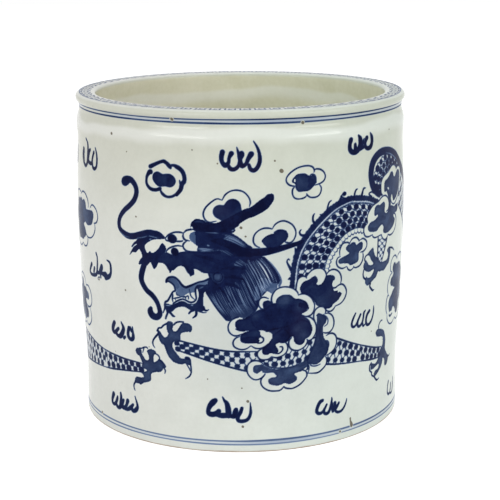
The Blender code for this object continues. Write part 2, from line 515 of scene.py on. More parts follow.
@dataclass(frozen=True)
class PotShape:
    """The pot's section. Lengths are in metres; insets are measured inside the rim's outermost ring."""

    height: float
    rim_radius: float
    skin: float = 0.00006
    roll_radius: float = 0.0027
    roll_start: float = -42.0
    lip_width: float = 0.0123
    mouth_rounding: float = 0.0021
    neck: Point = (0.0084, 0.0019)
    shoulder: Point = (0.0170, 0.0002)
    saddle: Point = (0.0258, 0.0006)
    barrel: tuple[Point, ...] = (
        (0.14, -0.0026),
        (0.27, -0.0020),
        (0.39, -0.0006),
        (0.54, 0.0001),
        (0.72, 0.0007),
        (0.87, 0.0002),
    )
    foot_inset: float = 0.0022
    foot_bevel: float = 0.0006
    ring_width: float = 0.0115
    recess: float = 0.0030
    recess_slope: float = 0.0020
    wall: float = 0.0092
    floor: float = 0.0105
    floor_rounding: float = 0.0120
    undercut: float = 0.0165
    wall_step: float = 0.0013
    neck_step: float = 0.0003
    neck_reach: float = 0.0115
    ring_rounding: float = 0.0007
    bevel_inset: float = 0.0001
    base_steps: int = 6
    ring_steps: int = 4
    lip_steps: int = 5
    undercut_steps: int = 10
    inside_steps: int = 30
    floor_steps: int = 14

    def wall_keys(self) -> list[Point]:
        """Points (height, radius) of the outer wall from the foot to the start of the rolled rim."""
        saddle_height = self.height - self.saddle[0]
        keys = [(self.foot_bevel, self.rim_radius - self.foot_inset)]
        for share, swell in self.barrel:
            height = self.foot_bevel + share * (saddle_height - self.foot_bevel)
            keys.append((height, self.rim_radius + swell))
        for drop, inset in (self.saddle, self.shoulder, self.neck):
            keys.append((self.height - drop, self.rim_radius - inset))
        start = math.radians(self.roll_start)
        height = self.height - self.roll_radius * (1 - math.sin(start))
        keys.append((height, self.rim_radius - self.roll_radius * (1 - math.cos(start))))
        return keys

    def radius(self, heights: np.ndarray) -> np.ndarray:
        """Radius of the outer wall, less the skin kept for the painted films.

        Args:
            heights: heights in metres.

        Returns:
            The radius at each height, on a curve that never swells past its keys.
        """
        z, r = (np.array(column) for column in zip(*self.wall_keys()))
        rise = np.diff(z)
        slope = np.diff(r) / rise
        product = slope[1:] * slope[:-1]
        total = slope[1:] + slope[:-1]
        inner = np.where(product > 0, 2 * product / np.where(product > 0, total, 1.0), 0.0)
        ends = -math.tan(math.radians(self.roll_start))
        tangent = np.concatenate(([0.0], inner, [ends]))
        at = np.clip(heights, z[0], z[-1])
        k = np.clip(np.searchsorted(z, at, side="right") - 1, 0, len(rise) - 1)
        t = (at - z[k]) / rise[k]
        value = r[k] + (r[k + 1] - r[k]) * t * t * (3 - 2 * t)
        value += rise[k] * (tangent[k] * t * (1 - t) ** 2 - tangent[k + 1] * t * t * (1 - t))
        return value - self.skin

    def outline(self) -> list[Point]:
        """The section as (radius, height), from the middle of the base round to the middle of the floor."""
        top = self.height - self.skin
        outer = self.rim_radius - self.foot_inset - self.foot_bevel
        inner = outer - self.ring_width
        points = [(0.0, self.recess)]
        for k in range(1, self.base_steps + 1):
            points.append(
                (inner * k / self.base_steps - self.recess_slope * k / self.base_steps, self.recess),
            )
        points += arc((inner, self.ring_rounding), self.ring_rounding, 200.0, 270.0, steps=4)
        points += [(inner + (outer - inner) * k / self.ring_steps, 0.0) for k in range(1, self.ring_steps)]
        bevel = (outer - self.bevel_inset, self.foot_bevel)
        points += arc(bevel, self.foot_bevel, -88.0, -10.0, steps=5)
        first, last = self.foot_bevel, self.wall_keys()[-1][0]
        bend = self.height - self.neck_reach
        below = np.linspace(first, bend, round((bend - first) / self.wall_step) + 1)
        above = np.linspace(bend, last, round((last - bend) / self.neck_step) + 1)
        heights = np.concatenate([below, above[1:-1]])
        points += list(zip(self.radius(heights).tolist(), heights.tolist()))
        roll = (self.rim_radius - self.roll_radius - self.skin, top - self.roll_radius)
        points += arc(roll, self.roll_radius, self.roll_start, 90.0, steps=16)
        mouth = self.rim_radius - self.lip_width
        rounding = (mouth + self.mouth_rounding, top - self.mouth_rounding)
        for k in range(1, self.lip_steps):
            points.append((roll[0] + (rounding[0] - roll[0]) * k / self.lip_steps, top))
        points += arc(rounding, self.mouth_rounding, 90.0, 180.0, steps=10)
        wall_radius = self.rim_radius - self.foot_inset - self.wall
        under = (wall_radius, self.height - self.mouth_rounding - self.undercut)
        for k in range(1, self.undercut_steps):
            t = k / self.undercut_steps
            ease = t * t * (3 - 2 * t)
            points.append((mouth + (under[0] - mouth) * ease, rounding[1] - self.undercut * t))
        base = self.recess + self.floor
        fillet = base + self.floor_rounding
        for k in range(self.inside_steps):
            points.append((wall_radius, under[1] + (fillet - under[1]) * k / self.inside_steps))
        flat = wall_radius - self.floor_rounding
        points += arc((flat, fillet), self.floor_rounding, 0.0, -90.0, steps=12)
        points += [(flat * (1 - k / self.floor_steps), base) for k in range(1, self.floor_steps)]
        points.append((0.0, base))
        return points


def arc(center: Point, radius: float, start: float, end: float, steps: int) -> list[Point]:
    """Points on a circular arc.

    Args:
        center: the arc's centre.
        radius: its radius.
        start: the first angle, in degrees.
        end: the last angle, in degrees.
        steps: how many parts it is cut into.

    Returns:
        The points, both ends included.
    """
    angles = [math.radians(start + (end - start) * k / steps) for k in range(steps + 1)]
    return [(center[0] + radius * math.cos(a), center[1] + radius * math.sin(a)) for a in angles]


def deselect_all() -> None:
    """Leave no object selected, in object mode."""
    if bpy.context.object is not None and bpy.context.object.mode != "OBJECT":
        bpy.ops.object.mode_set(mode="OBJECT")
    bpy.ops.object.select_all(action="DESELECT")


@dataclass
class ThrownPot:
    """The pot itself, turned as one closed body."""

    shape: PotShape
    finish: BodyFinish
    segments: int = 320
    join_distance: float = 1e-6
    sharp_angle: float = 50.0

    def build(self) -> bpy.types.Object:
        """Turn the section round the axis and glaze it.

        Returns:
            The finished piece, riding on the root body in place of the plain pot.
        """
        points = self.shape.outline()
        deselect_all()
        bpy.ops.mesh.primitive_circle_add(vertices=len(points), radius=0.1, fill_type="NOTHING")
        pot = bpy.context.object
        pot.name = pot.data.name = "thrown_pot"
        mesh = pot.data
        flat = [axis for radius, height in points for axis in (radius, 0.0, height)]
        mesh.vertices.foreach_set("co", flat)
        closing = {0, len(points) - 1}
        self.open_on_axis(pot, closing)
        bpy.ops.object.mode_set(mode="EDIT")
        bpy.ops.mesh.select_all(action="SELECT")
        bpy.ops.mesh.spin(steps=self.segments, angle=math.tau, center=(0, 0, 0), axis=(0, 0, 1))
        bpy.ops.mesh.select_all(action="SELECT")
        bpy.ops.mesh.remove_doubles(threshold=self.join_distance)
        bpy.ops.mesh.normals_make_consistent(inside=False)
        bpy.ops.object.mode_set(mode="OBJECT")
        bpy.ops.object.shade_smooth_by_angle(angle=math.radians(self.sharp_angle))
        mesh.materials.clear()
        mesh.materials.append(self.finish.material())
        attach(pot, "root")
        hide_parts("pot_body")
        return pot

    def open_on_axis(self, pot: bpy.types.Object, closing: set[int]) -> None:
        """Remove the section's edge along the axis, so that turning it makes no faces there."""
        bpy.ops.object.mode_set(mode="EDIT")
        bpy.ops.mesh.select_mode(type="EDGE")
        bpy.ops.mesh.select_all(action="DESELECT")
        bpy.ops.object.mode_set(mode="OBJECT")
        for edge in pot.data.edges:
            edge.select = set(edge.vertices) == closing
        bpy.ops.object.mode_set(mode="EDIT")
        bpy.ops.mesh.delete(type="EDGE")
        bpy.ops.object.mode_set(mode="OBJECT")


# ---------------------------------------------------------------- painting on the wall


class Surface(Enum):
    """Which glazed surface a film lies on."""

    WALL = "wall"
    LIP = "lip"


@dataclass
class Canvas:
    """A grid of cobalt strengths over an unrolled surface, in millimetres, closed round the pot.

    On the lip, the second axis is the distance from the pot's axis in place of the height.
    """

    surface: Surface
    shape: PotShape
    low: float
    high: float
    columns: int
    pitch: float
    edge: float = 0.03

    def __post_init__(self) -> None:
        """Make the empty grid."""
        self.step = TURN / self.columns
        self.rows = int(round((self.high - self.low) / self.pitch)) + 1
        self.strength = np.zeros((self.rows, self.columns), np.float32)
        self.owner = np.full((self.rows, self.columns), -1, np.int16)

    def window(self, left: float, right: float, low: float, high: float) -> tuple[np.ndarray, np.ndarray]:
        """Columns and rows that cover a box; the columns run on past a turn.

        Args:
            left: least s.
            right: greatest s.
            low: least z.
            high: greatest z.

        Returns:
            The column numbers and the row numbers.
        """
        columns = np.arange(math.floor(left / self.step), math.ceil(right / self.step) + 1)
        first = max(0, math.floor((low - self.low) / self.pitch))
        last = min(self.rows - 1, math.ceil((high - self.low) / self.pitch))
        return columns, np.arange(first, last + 1)

    def places(self, columns: np.ndarray, rows: np.ndarray) -> tuple[np.ndarray, np.ndarray]:
        """The s of each column and the z of each row, ready to broadcast over the grid."""
        return columns[None, :] * self.step, (self.low + rows * self.pitch)[:, None]

    def cells(self, owner: int, columns: np.ndarray, rows: np.ndarray) -> np.ndarray:
        """Cells of a window with paint of one owner, where no two cells touch only at a corner."""
        grid = np.ix_(rows, columns % self.columns)
        strength, who = self.strength[grid], self.owner[grid]
        most = np.maximum.reduce(
            [strength[:-1, :-1], strength[1:, :-1], strength[:-1, 1:], strength[1:, 1:]],
        )
        last = np.maximum.reduce([who[:-1, :-1], who[1:, :-1], who[:-1, 1:], who[1:, 1:]])
        kept = (most > self.edge) & (last == owner)
        while True:
            a, b, c, d = kept[:-1, :-1], kept[:-1, 1:], kept[1:, :-1], kept[1:, 1:]
            rising, falling = a & d & ~b & ~c, b & c & ~a & ~d
            if not (rising.any() or falling.any()):
                return kept
            kept[:-1, 1:] |= rising
            kept[1:, :-1] |= rising
            kept[:-1, :-1] |= falling
            kept[1:, 1:] |= falling

    def wrap(self, s: np.ndarray, z: np.ndarray, lift: np.ndarray) -> np.ndarray:
        """Lay flat points on the surface.

        Args:
            s: places round the pot, in millimetres.
            z: heights, or on the lip distances from the axis, in millimetres.
            lift: how far each point stands out from the clay, in metres.

        Returns:
            The points in metres, one row each.
        """
        angle = s / RADIAN
        if self.surface is Surface.LIP:
            radius = z * MM
            height = self.shape.height - self.shape.skin + lift
        else:
            radius = self.shape.radius(z * MM) + lift
            height = z * MM
        return np.stack([radius * np.sin(angle), -radius * np.cos(angle), height], 1)


def smooth_path(points: Sequence[Sequence[float]], step: float, closed: bool = False) -> np.ndarray:
    """A Catmull-Rom curve through points, whose first two numbers are its place.

    Args:
        points: rows of numbers, such as (s, z, width); all of them are smoothed.
        step: greatest spacing of the result, in the units of the first two numbers.
        closed: whether the curve returns to its start.

    Returns:
        The rows along the curve.
    """
    rows = np.array(points, float)
    count = len(rows)
    if count < 2:
        return rows
    if closed:
        before, after = np.roll(rows, 1, 0), np.roll(rows, -1, 0)
        spans = [(before[i], rows[i], after[i], np.roll(rows, -2, 0)[i]) for i in range(count)]
    else:
        ends = np.vstack([2 * rows[0] - rows[1], rows, 2 * rows[-1] - rows[-2]])
        spans = [tuple(ends[i : i + 4]) for i in range(count - 1)]
    out = []
    for p0, p1, p2, p3 in spans:
        steps = max(1, math.ceil(math.hypot(*(p2 - p1)[:2]) / step))
        t = (np.arange(steps) / steps)[:, None]
        out.append(
            0.5
            * (
                2 * p1
                + (p2 - p0) * t
                + (2 * p0 - 5 * p1 + 4 * p2 - p3) * t * t
                + (3 * p1 - p0 - 3 * p2 + p3) * t**3
            )
        )
    if not closed:
        out.append(rows[-1:])
    return np.vstack(out)


@dataclass
class Brush:
    """Paints one motif on a canvas: everything that it touches belongs to the motif's film."""

    canvas: Canvas
    owner: int
    softness: float = 0.5
    seed: int = 1
    pool_width: float = 1.4

    def __post_init__(self) -> None:
        """Start with nothing painted."""
        self.box = [math.inf, -math.inf, math.inf, -math.inf]
        self.random = np.random.default_rng(self.seed * 1000 + self.owner)

    def lay(
        self, cover: np.ndarray, tone: float | np.ndarray, columns: np.ndarray, rows: np.ndarray
    ) -> None:
        """Put paint down where cover says, no weaker than what is there.

        Args:
            cover: share of paint at each place of the window, 0 to 1.
            tone: the paint's strength, one number or one for each place; nothing or less takes paint off,
                down to that much.
            columns: the window's columns.
            rows: the window's rows.
        """
        grid = np.ix_(rows, columns % self.canvas.columns)
        held = self.canvas.strength[grid]
        painting = np.max(tone) > 0
        if painting:
            self.canvas.strength[grid] = np.maximum(held, tone * cover)
            touched = cover > 0.02
        else:
            self.canvas.strength[grid] = held - np.maximum(held + tone, 0) * cover
            touched = np.zeros_like(cover, bool)
        who = self.canvas.owner[grid]
        who[touched] = self.owner
        self.canvas.owner[grid] = who
        if painting and touched.any():
            s, z = self.canvas.places(columns, rows)
            self.box[0] = min(self.box[0], float(s.min()))
            self.box[1] = max(self.box[1], float(s.max()))
            self.box[2] = min(self.box[2], float(z.min()))
            self.box[3] = max(self.box[3], float(z.max()))

    def cover_of_path(
        self, path: np.ndarray, soft: float, margin: float | None = None
    ) -> tuple[np.ndarray, np.ndarray, np.ndarray]:
        """How far a stroke of changing width covers the grid.

        Args:
            path: rows of (s, z, width).
            soft: width of its fading edge.
            margin: how far its window reaches beyond the path, where that is given.

        Returns:
            The cover, and the columns and rows of its window.
        """
        reach = margin or path[:, 2].max() / 2 + soft + self.canvas.step
        columns, rows = self.canvas.window(
            path[:, 0].min() - reach, path[:, 0].max() + reach, path[:, 1].min() - reach,
            path[:, 1].max() + reach,
        )
        s, z = self.canvas.places(columns, rows)
        cover = np.zeros((len(rows), len(columns)), np.float32)
        for start, end in zip(path, path[1:] if len(path) > 1 else path):
            pad = max(start[2], end[2]) / 2 + soft
            c0 = np.searchsorted(s[0], min(start[0], end[0]) - pad)
            c1 = np.searchsorted(s[0], max(start[0], end[0]) + pad)
            r0 = np.searchsorted(z[:, 0], min(start[1], end[1]) - pad)
            r1 = np.searchsorted(z[:, 0], max(start[1], end[1]) + pad)
            if c0 >= c1 or r0 >= r1:
                continue
            ds, dz = s[:, c0:c1] - start[0], z[r0:r1] - start[1]
            along = end[:2] - start[:2]
            square = float(along @ along)
            t = np.clip((ds * along[0] + dz * along[1]) / square, 0, 1) if square > 0 else ds * 0 + dz * 0
            distance = np.hypot(ds - t * along[0], dz - t * along[1])
            width = start[2] + (end[2] - start[2]) * t
            near = np.clip((width / 2 - distance) / soft + 0.5, 0, 1) * np.clip(width / (0.7 * soft), 0, 1)
            np.maximum(cover[r0:r1, c0:c1], near, out=cover[r0:r1, c0:c1])
        return cover, columns, rows

    def stroke(self, points: Sequence[Dab], tone: float = 0.92, soft: float | None = None) -> None:
        """One brush stroke.

        Args:
            points: (s, z, width) along it.
            tone: its strength; 0 or less takes paint off instead, down to that much.
            soft: width of its fading edge.
        """
        path = smooth_path(points, 0.5)
        path[:, 2] = np.maximum(path[:, 2], 0.05)
        cover, columns, rows = self.cover_of_path(path, soft or self.softness)
        self.lay(cover, tone, columns, rows)

    def line(
        self, points: Sequence[Point], width: float = 1.0, tone: float = 0.88, ends: float = 0.5
    ) -> None:
        """A thin line of nearly even width that slims at its ends.

        Args:
            points: (s, z) along it.
            width: its width.
            tone: its strength.
            ends: width of the ends as a share of the line's.
        """
        count = len(points)
        dabs = []
        for k, (s, z) in enumerate(points):
            share = ends if k in (0, count - 1) else 1.0
            dabs.append((s, z, width * share * float(self.random.uniform(0.86, 1.14))))
        self.stroke(dabs, tone)

    def strokes(self, tone: float, *several: Sequence[Dab]) -> None:
        """Several brush strokes of one strength."""
        for points in several:
            self.stroke(points, tone)

    def lines(self, width: float, tone: float, *several: Sequence[Point]) -> None:
        """Several thin lines of one width and strength."""
        for points in several:
            self.line(points, width, tone)

    def inside(self, outline: np.ndarray, columns: np.ndarray, rows: np.ndarray) -> np.ndarray:
        """Which places of a window lie inside a closed outline."""
        s, z = self.canvas.places(columns, rows)
        found = np.zeros((len(rows), len(columns)), bool)
        for (s0, z0), (s1, z1) in zip(outline, np.roll(outline, -1, 0)):
            if z0 == z1:
                continue
            crossed = (z0 > z) != (z1 > z)
            found ^= crossed & (s < (s1 - s0) * (z - z0) / (z1 - z0) + s0)
        return found

    def fill(
        self,
        outline: Sequence[Point],
        tone: float = 0.85,
        soft: float = 0.5,
        smooth: bool = True,
        pooling: float = 0.0,
    ) -> None:
        """Fill a closed outline.

        Args:
            outline: (s, z) round it.
            tone: its strength; 0 or less takes paint off instead, down to that much.
            soft: width of the fading edge.
            smooth: whether the outline is a smooth curve or straight lines.
            pooling: how much stronger the paint is where it has gathered along the edge.
        """
        edge = smooth_path(outline, 0.7, closed=True) if smooth else np.array(outline, float)
        ring = np.vstack([edge, edge[:1]])
        margin = max(soft, self.pool_width) * 1.5 + self.canvas.step
        cover, columns, rows = self.cover_of_path(np.insert(ring, 2, 0.15, 1), soft, margin)
        cover = np.maximum(cover, self.inside(edge, columns, rows))
        if pooling:
            pool = self.cover_of_path(np.insert(ring, 2, self.pool_width, 1), self.pool_width, margin)[0]
            tone = np.clip(tone + pooling * pool + self.drift(columns, rows, 0.25 * pooling), 0.02, 1.0)
        self.lay(cover, tone, columns, rows)

    def drift(self, columns: np.ndarray, rows: np.ndarray, amount: float) -> np.ndarray:
        """A slow change of strength over a window, as wet paint has, up and down by an amount."""
        s, z = self.canvas.places(columns, rows)
        phase = self.random.uniform(0, math.tau, 3)
        waves = np.sin(s / 2.3 + z / 3.1 + phase[0]) + np.sin(s / 3.7 - z / 2.1 + phase[1])
        waves = waves + np.sin(z / 4.3 + phase[2])
        return amount * waves / 1.8

    def blobs(
        self,
        lobes: Sequence[Dab],
        tone: float = 0.82,
        soft: float = 0.5,
        melt: float = 0.6,
        vary: float = 0.0,
        pooling: float = 0.0,
    ) -> None:
        """A mass of round lobes that run together.

        Args:
            lobes: (s, z, radius) of each.
            tone: the strength; 0 or less takes paint off instead, down to that much.
            soft: width of the fading edge.
            melt: how far neighbouring lobes flow into each other.
            vary: how much the lobes differ in strength.
            pooling: how much stronger the paint is where it has gathered along the edge.
        """
        data = np.array(lobes, float)
        reach = data[:, 2].max() + soft + melt + 1
        columns, rows = self.canvas.window(
            data[:, 0].min() - reach, data[:, 0].max() + reach, data[:, 1].min() - reach,
            data[:, 1].max() + reach,
        )
        s, z = self.canvas.places(columns, rows)
        total = np.zeros((len(rows), len(columns)))
        mixed = np.zeros_like(total)
        for at_s, at_z, radius in lobes:
            near = np.exp(np.clip((radius - np.hypot(s - at_s, z - at_z)) / melt, -30, 30))
            total += near
            mixed += near * self.random.uniform(-1.0, 1.0)
        depth = melt * np.log(np.maximum(total, LEAST))
        pool = np.clip(1 - np.maximum(depth, 0) / self.pool_width, 0, 1)
        if vary or pooling:
            tone = np.clip(tone + vary * mixed / np.maximum(total, LEAST) + pooling * pool, 0.02, 1.0)
        self.lay(np.clip(depth / soft + 0.5, 0, 1).astype(np.float32), tone, columns, rows)

    def streaks(
        self,
        first: Sequence[Point],
        last: Sequence[Point],
        count: int,
        width: float,
        tone: float,
        reach: Point = (0.0, 1.0),
        wander: float = 0.25,
    ) -> None:
        """Hair strokes that fan from one guide line to another.

        Args:
            first: (s, z) along one side, from root to tip.
            last: the same number of points along the other side.
            count: how many strokes.
            width: their greatest width.
            tone: their strength; 0 or less combs light lines instead, down to that much.
            reach: the least start and the greatest end along the guides, as shares.
            wander: how far a stroke strays sideways.
        """
        side_a, side_b = smooth_path(first, 1.5), smooth_path(last, 1.5)
        steps = 24
        rows = np.linspace(0, 1, steps)
        a = np.stack([np.interp(rows, np.linspace(0, 1, len(side_a)), side_a[:, k]) for k in (0, 1)], 1)
        b = np.stack([np.interp(rows, np.linspace(0, 1, len(side_b)), side_b[:, k]) for k in (0, 1)], 1)
        for k in range(count):
            share = (k + self.random.uniform(0.2, 0.8)) / count
            start = reach[0] + self.random.uniform(0, 0.12)
            end = reach[1] - self.random.uniform(0, 0.14)
            kept = (rows >= start) & (rows <= end)
            if kept.sum() < 4:
                continue
            middle = (a + (b - a) * share)[kept]
            sway = self.random.uniform(-wander, wander, 2)
            t = np.linspace(0, 1, len(middle))
            swell = np.clip(np.sin(np.pi * (0.12 + 0.82 * t)), 0.1, 1)
            thick_and_top_shade = width * self.random.uniform(0.6, 1.15) * swell
            path = np.column_stack([middle + np.outer(np.sin(np.pi * t), sway), thick_and_top_shade])
            cover, columns, grid_rows = self.cover_of_path(path[::2] if len(path) > 8 else path, 0.4)
            self.lay(
                cover * (1.0 if tone else 0.75), tone * self.random.uniform(0.9, 1.04), columns, grid_rows,
            )

    def net(
        self,
        first: Sequence[Point],
        last: Sequence[Point],
        pitch: float,
        rows: int,
        dot: float = 1.5,
        line: float = 0.40,
        tone: float = 0.82,
        square: bool = False,
    ) -> None:
        """Scales: slanting lines that cross on every dot, over a pale wash.

        Args:
            first: (s, z) along one edge of the band.
            last: (s, z) along the other edge, running the same way.
            pitch: distance between the dots of one row.
            rows: how many rows of dots lie across the band.
            dot: radius of the dots.
            line: width of the lines.
            tone: strength of the lines and dots.
            square: whether the dots of neighbouring rows stand in line; else they are staggered.
        """
        side_a, side_b = smooth_path(first, 0.8), smooth_path(last, 0.8)
        length = (along_path(side_a)[-1] + along_path(side_b)[-1]) / 2
        count = max(2, round(length / pitch))

        def at(u: float, v: float) -> np.ndarray:
            """The point u dots along the band and v of its width across."""
            share = min(max(u / count, 0.0), 1.0)
            return point_along(side_a, share) * (1 - v) + point_along(side_b, share) * v

        self.fill([*side_a[::4].tolist(), *side_b[::-4].tolist()], 0.09, smooth=False)
        slope = 1.0 if square else 0.5
        across = np.linspace(0.0, 1.0, 2 * rows + 1)
        start = 0.25
        paths = []
        for lean in (-slope, slope):
            for k in range(-rows, count + rows + 1):
                slant = [(k + start + (v * rows - 0.5) * lean, v) for v in across]
                paths.append([(u, v) for u, v in slant if -0.05 <= u <= count + 0.05])
        for points in paths:
            if len(points) > 1:
                jog = self.random.uniform(-0.12, 0.12, (len(points), 2))
                width = line * self.random.uniform(0.8, 1.2)
                self.stroke([(*(at(u, v) + shift), width) for (u, v), shift in zip(points, jog)], tone)
        for row in range(rows):
            shift = 0.0 if square else (row % 2) / 2
            for k in range(count):
                s, z = at(k + start + shift + self.random.uniform(-0.05, 0.05), (row + 0.5) / rows)
                size = dot * self.random.uniform(0.86, 1.14)
                self.blobs([(s - 0.3, z, size), (s + 0.35, z - 0.15, size * 0.88)], tone, melt=0.15)


def along_path(path: np.ndarray) -> np.ndarray:
    """Distance along a path at each of its points."""
    steps = np.hypot(*np.diff(path[:, :2], axis=0).T)
    return np.concatenate([[0.0], np.cumsum(steps)])


def point_along(path: np.ndarray, share: float) -> np.ndarray:
    """The point at a share of a path's length."""
    far = along_path(path)
    return np.array([np.interp(share * far[-1], far, path[:, k]) for k in (0, 1)])


@dataclass
class Film:
    """A thin closed skin of painted glaze, cut to one motif and laid on the wall or the lip."""

    name: str
    canvas: Canvas
    owner: int
    box: Sequence[float]
    material: bpy.types.Material
    slot: str = "cobalt_painting"
    attribute: str = "cobalt"
    proud: float = 0.00004
    thickness: float = 0.00012
    sharp_angle: float = 45.0

    def build(self) -> bpy.types.Object | None:
        """Cut, thicken and wrap the film.

        Returns:
            The finished piece, or None where the motif is wholly covered by later ones.
        """
        canvas = self.canvas
        columns, rows = canvas.window(*self.box)
        kept = canvas.cells(self.owner, columns, rows)
        if not kept.any():
            return None
        filled_rows, filled_columns = np.flatnonzero(kept.any(1)), np.flatnonzero(kept.any(0))
        kept = kept[filled_rows[0] : filled_rows[-1] + 1, filled_columns[0] : filled_columns[-1] + 1]
        first_row = rows[0] + filled_rows[0]
        first_column = columns[0] + filled_columns[0]
        film = self.cut_sheet(kept)
        mesh = film.data
        co = np.empty(len(mesh.vertices) * 3, np.float32)
        mesh.vertices.foreach_get("co", co)
        co = co.reshape(-1, 3)
        column = np.rint(co[:, 0]).astype(int) + first_column
        row = np.rint(co[:, 1]).astype(int) + first_row
        self.lay_out_map(mesh, co, kept.shape)
        strength = canvas.strength[row, column % canvas.columns]
        values = mesh.attributes.new(self.attribute, "FLOAT", "POINT")
        values.data.foreach_set("value", strength.astype(np.float32))
        lift = self.proud - self.thickness + co[:, 2].astype(float) * self.thickness
        placed = canvas.wrap(column * canvas.step, canvas.low + row * canvas.pitch, lift)
        mesh.vertices.foreach_set("co", placed.astype(np.float32).ravel())
        if canvas.surface is Surface.LIP:
            mesh.flip_normals()
        mesh.update()
        deselect_all()
        film.select_set(True)
        bpy.context.view_layer.objects.active = film
        bpy.ops.object.shade_smooth_by_angle(angle=math.radians(self.sharp_angle))
        mesh.materials.clear()
        mesh.materials.append(self.material)
        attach(film, "root")
        return film

    def cut_sheet(self, kept: np.ndarray) -> bpy.types.Object:
        """A flat sheet of unit cells, cut to the painted ones and given a thickness of one unit.

        Args:
            kept: which cells stay, by row and column.

        Returns:
            The sheet, with its corners at whole numbers.
        """
        count_z, count_s = kept.shape
        deselect_all()
        bpy.ops.mesh.primitive_grid_add(x_subdivisions=count_s, y_subdivisions=count_z, size=1.0)
        film = bpy.context.object
        film.name = film.data.name = self.name
        mesh = film.data
        across, up = np.meshgrid(np.arange(count_s + 1.0), np.arange(count_z + 1.0))
        flat = np.stack([across.ravel(), up.ravel(), np.zeros(across.size)], 1)
        mesh.vertices.foreach_set("co", flat.astype(np.float32).ravel())
        corner = np.empty(len(mesh.polygons) * 4, np.int32)
        mesh.polygons.foreach_get("vertices", corner)
        lowest = corner.reshape(-1, 4).min(1)
        gone = ~kept[lowest // (count_s + 1), lowest % (count_s + 1)]
        bpy.ops.object.mode_set(mode="EDIT")
        bpy.ops.mesh.select_mode(type="FACE")
        bpy.ops.mesh.select_all(action="DESELECT")
        bpy.ops.object.mode_set(mode="OBJECT")
        mesh.polygons.foreach_set("select", gone)
        bpy.ops.object.mode_set(mode="EDIT")
        bpy.ops.mesh.delete(type="FACE")
        bpy.ops.object.mode_set(mode="OBJECT")
        solid = film.modifiers.new("thickness", "SOLIDIFY")
        solid.thickness = 1.0
        solid.offset = 1.0
        bpy.ops.object.modifier_apply(modifier=solid.name)
        return film

    def lay_out_map(self, mesh: bpy.types.Mesh, co: np.ndarray, size: tuple[int, int]) -> None:
        """A map that follows the flat sheet: the face large, the hidden back in a narrow strip.

        Args:
            mesh: the flat film.
            co: its vertices, at whole numbers.
            size: its rows and columns of cells.
        """
        corners = np.empty(len(mesh.loops), np.int32)
        mesh.loops.foreach_get("vertex_index", corners)
        normals = np.empty(len(mesh.polygons) * 3, np.float32)
        mesh.polygons.foreach_get("normal", normals)
        normal = np.repeat(normals.reshape(-1, 3), 4, 0)
        place = co[corners].astype(float)
        middle = np.repeat(place.reshape(-1, 4, 3).mean(1), 4, 0)
        side = np.abs(normal[:, 2]) < 0.5
        low = side & (place[:, 2] < 0.5)
        back = normal[:, 2] < -0.5
        spot = place[:, :2].copy()
        spot[low] += EDGE_INSET * normal[low, :2] + EDGE_INSET * (middle[low, :2] - place[low, :2])
        u = (spot[:, 0] + 1.0) / (size[1] + 2.0)
        v = (spot[:, 1] + 1.0) / (size[0] + 2.0)
        v = np.where(back, BACK_MAP[0] + BACK_MAP[1] * v, FACE_MAP[0] + FACE_MAP[1] * v)
        layer = mesh.uv_layers.new(name="OFBake")
        layer.uv.foreach_set("vector", np.stack([u, v], 1).astype(np.float32).ravel())


# ---------------------------------------------------------------- bands round the pot


@dataclass
class BorderLines:
    """The double blue lines below the rim and above the foot, drawn while the pot turned on the wheel."""

    shape: PotShape
    material: bpy.types.Material
    columns: int = 560
    pitch: float = 0.2
    upper: tuple[Dab, ...] = ((192.75, 0.85, 0.60), (190.5, 1.0, 0.60))
    lower: tuple[Dab, ...] = ((6.85, 1.05, 0.37), (4.65, 0.85, 0.33))
    wash: float = 0.11
    margin: float = 1.2

    def ring(self, canvas: Canvas, height: float, width: float, tone: float, phase: float) -> None:
        """Draw one line whose height, width and strength drift a little round the pot."""
        s, z = canvas.places(np.arange(canvas.columns), np.arange(canvas.rows))
        turn = s / RADIAN
        at = height + 0.16 * np.sin(turn + phase) + 0.07 * np.sin(5 * turn + 2 * phase)
        wide = width * (1 + 0.12 * np.sin(3 * turn + phase) + 0.08 * np.sin(11 * turn - phase))
        strong = tone * (1 + 0.10 * np.sin(2 * turn - phase) + 0.08 * np.sin(7 * turn + phase))
        cover = np.clip((wide / 2 - np.abs(z - at)) / 0.35 + 0.5, 0, 1)
        np.maximum(canvas.strength, cover * strong, out=canvas.strength)

    def band(self, name: str, lines: Sequence[Dab]) -> bpy.types.Object | None:
        """Build one pair of lines with the pale wash between them.

        Args:
            name: the piece's name.
            lines: (height, width, strength) of the lines, in millimetres.

        Returns:
            The finished piece.
        """
        heights = [line[0] for line in lines]
        low, high = min(heights), max(heights)
        bottom, top = low - self.margin, high + self.margin
        canvas = Canvas(Surface.WALL, self.shape, bottom, top, self.columns, self.pitch)
        s, z = canvas.places(np.arange(canvas.columns), np.arange(canvas.rows))
        drift = self.wash * (1 + 0.35 * np.sin(2 * s / RADIAN + 1.0) + 0.2 * np.sin(7 * s / RADIAN))
        canvas.strength[:] = np.where((z > low) & (z < high), drift, 0.0)
        for number, (height, width, tone) in enumerate(lines):
            self.ring(canvas, height, width, tone, 1.3 * number + 0.4)
        canvas.owner[:] = 0
        return Film(name, canvas, 0, (0.0, TURN, bottom, top), self.material).build()

    def build(self) -> list[bpy.types.Object]:
        """Both pairs of lines."""
        return [self.band("lines_below_rim", self.upper), self.band("lines_above_foot", self.lower)]


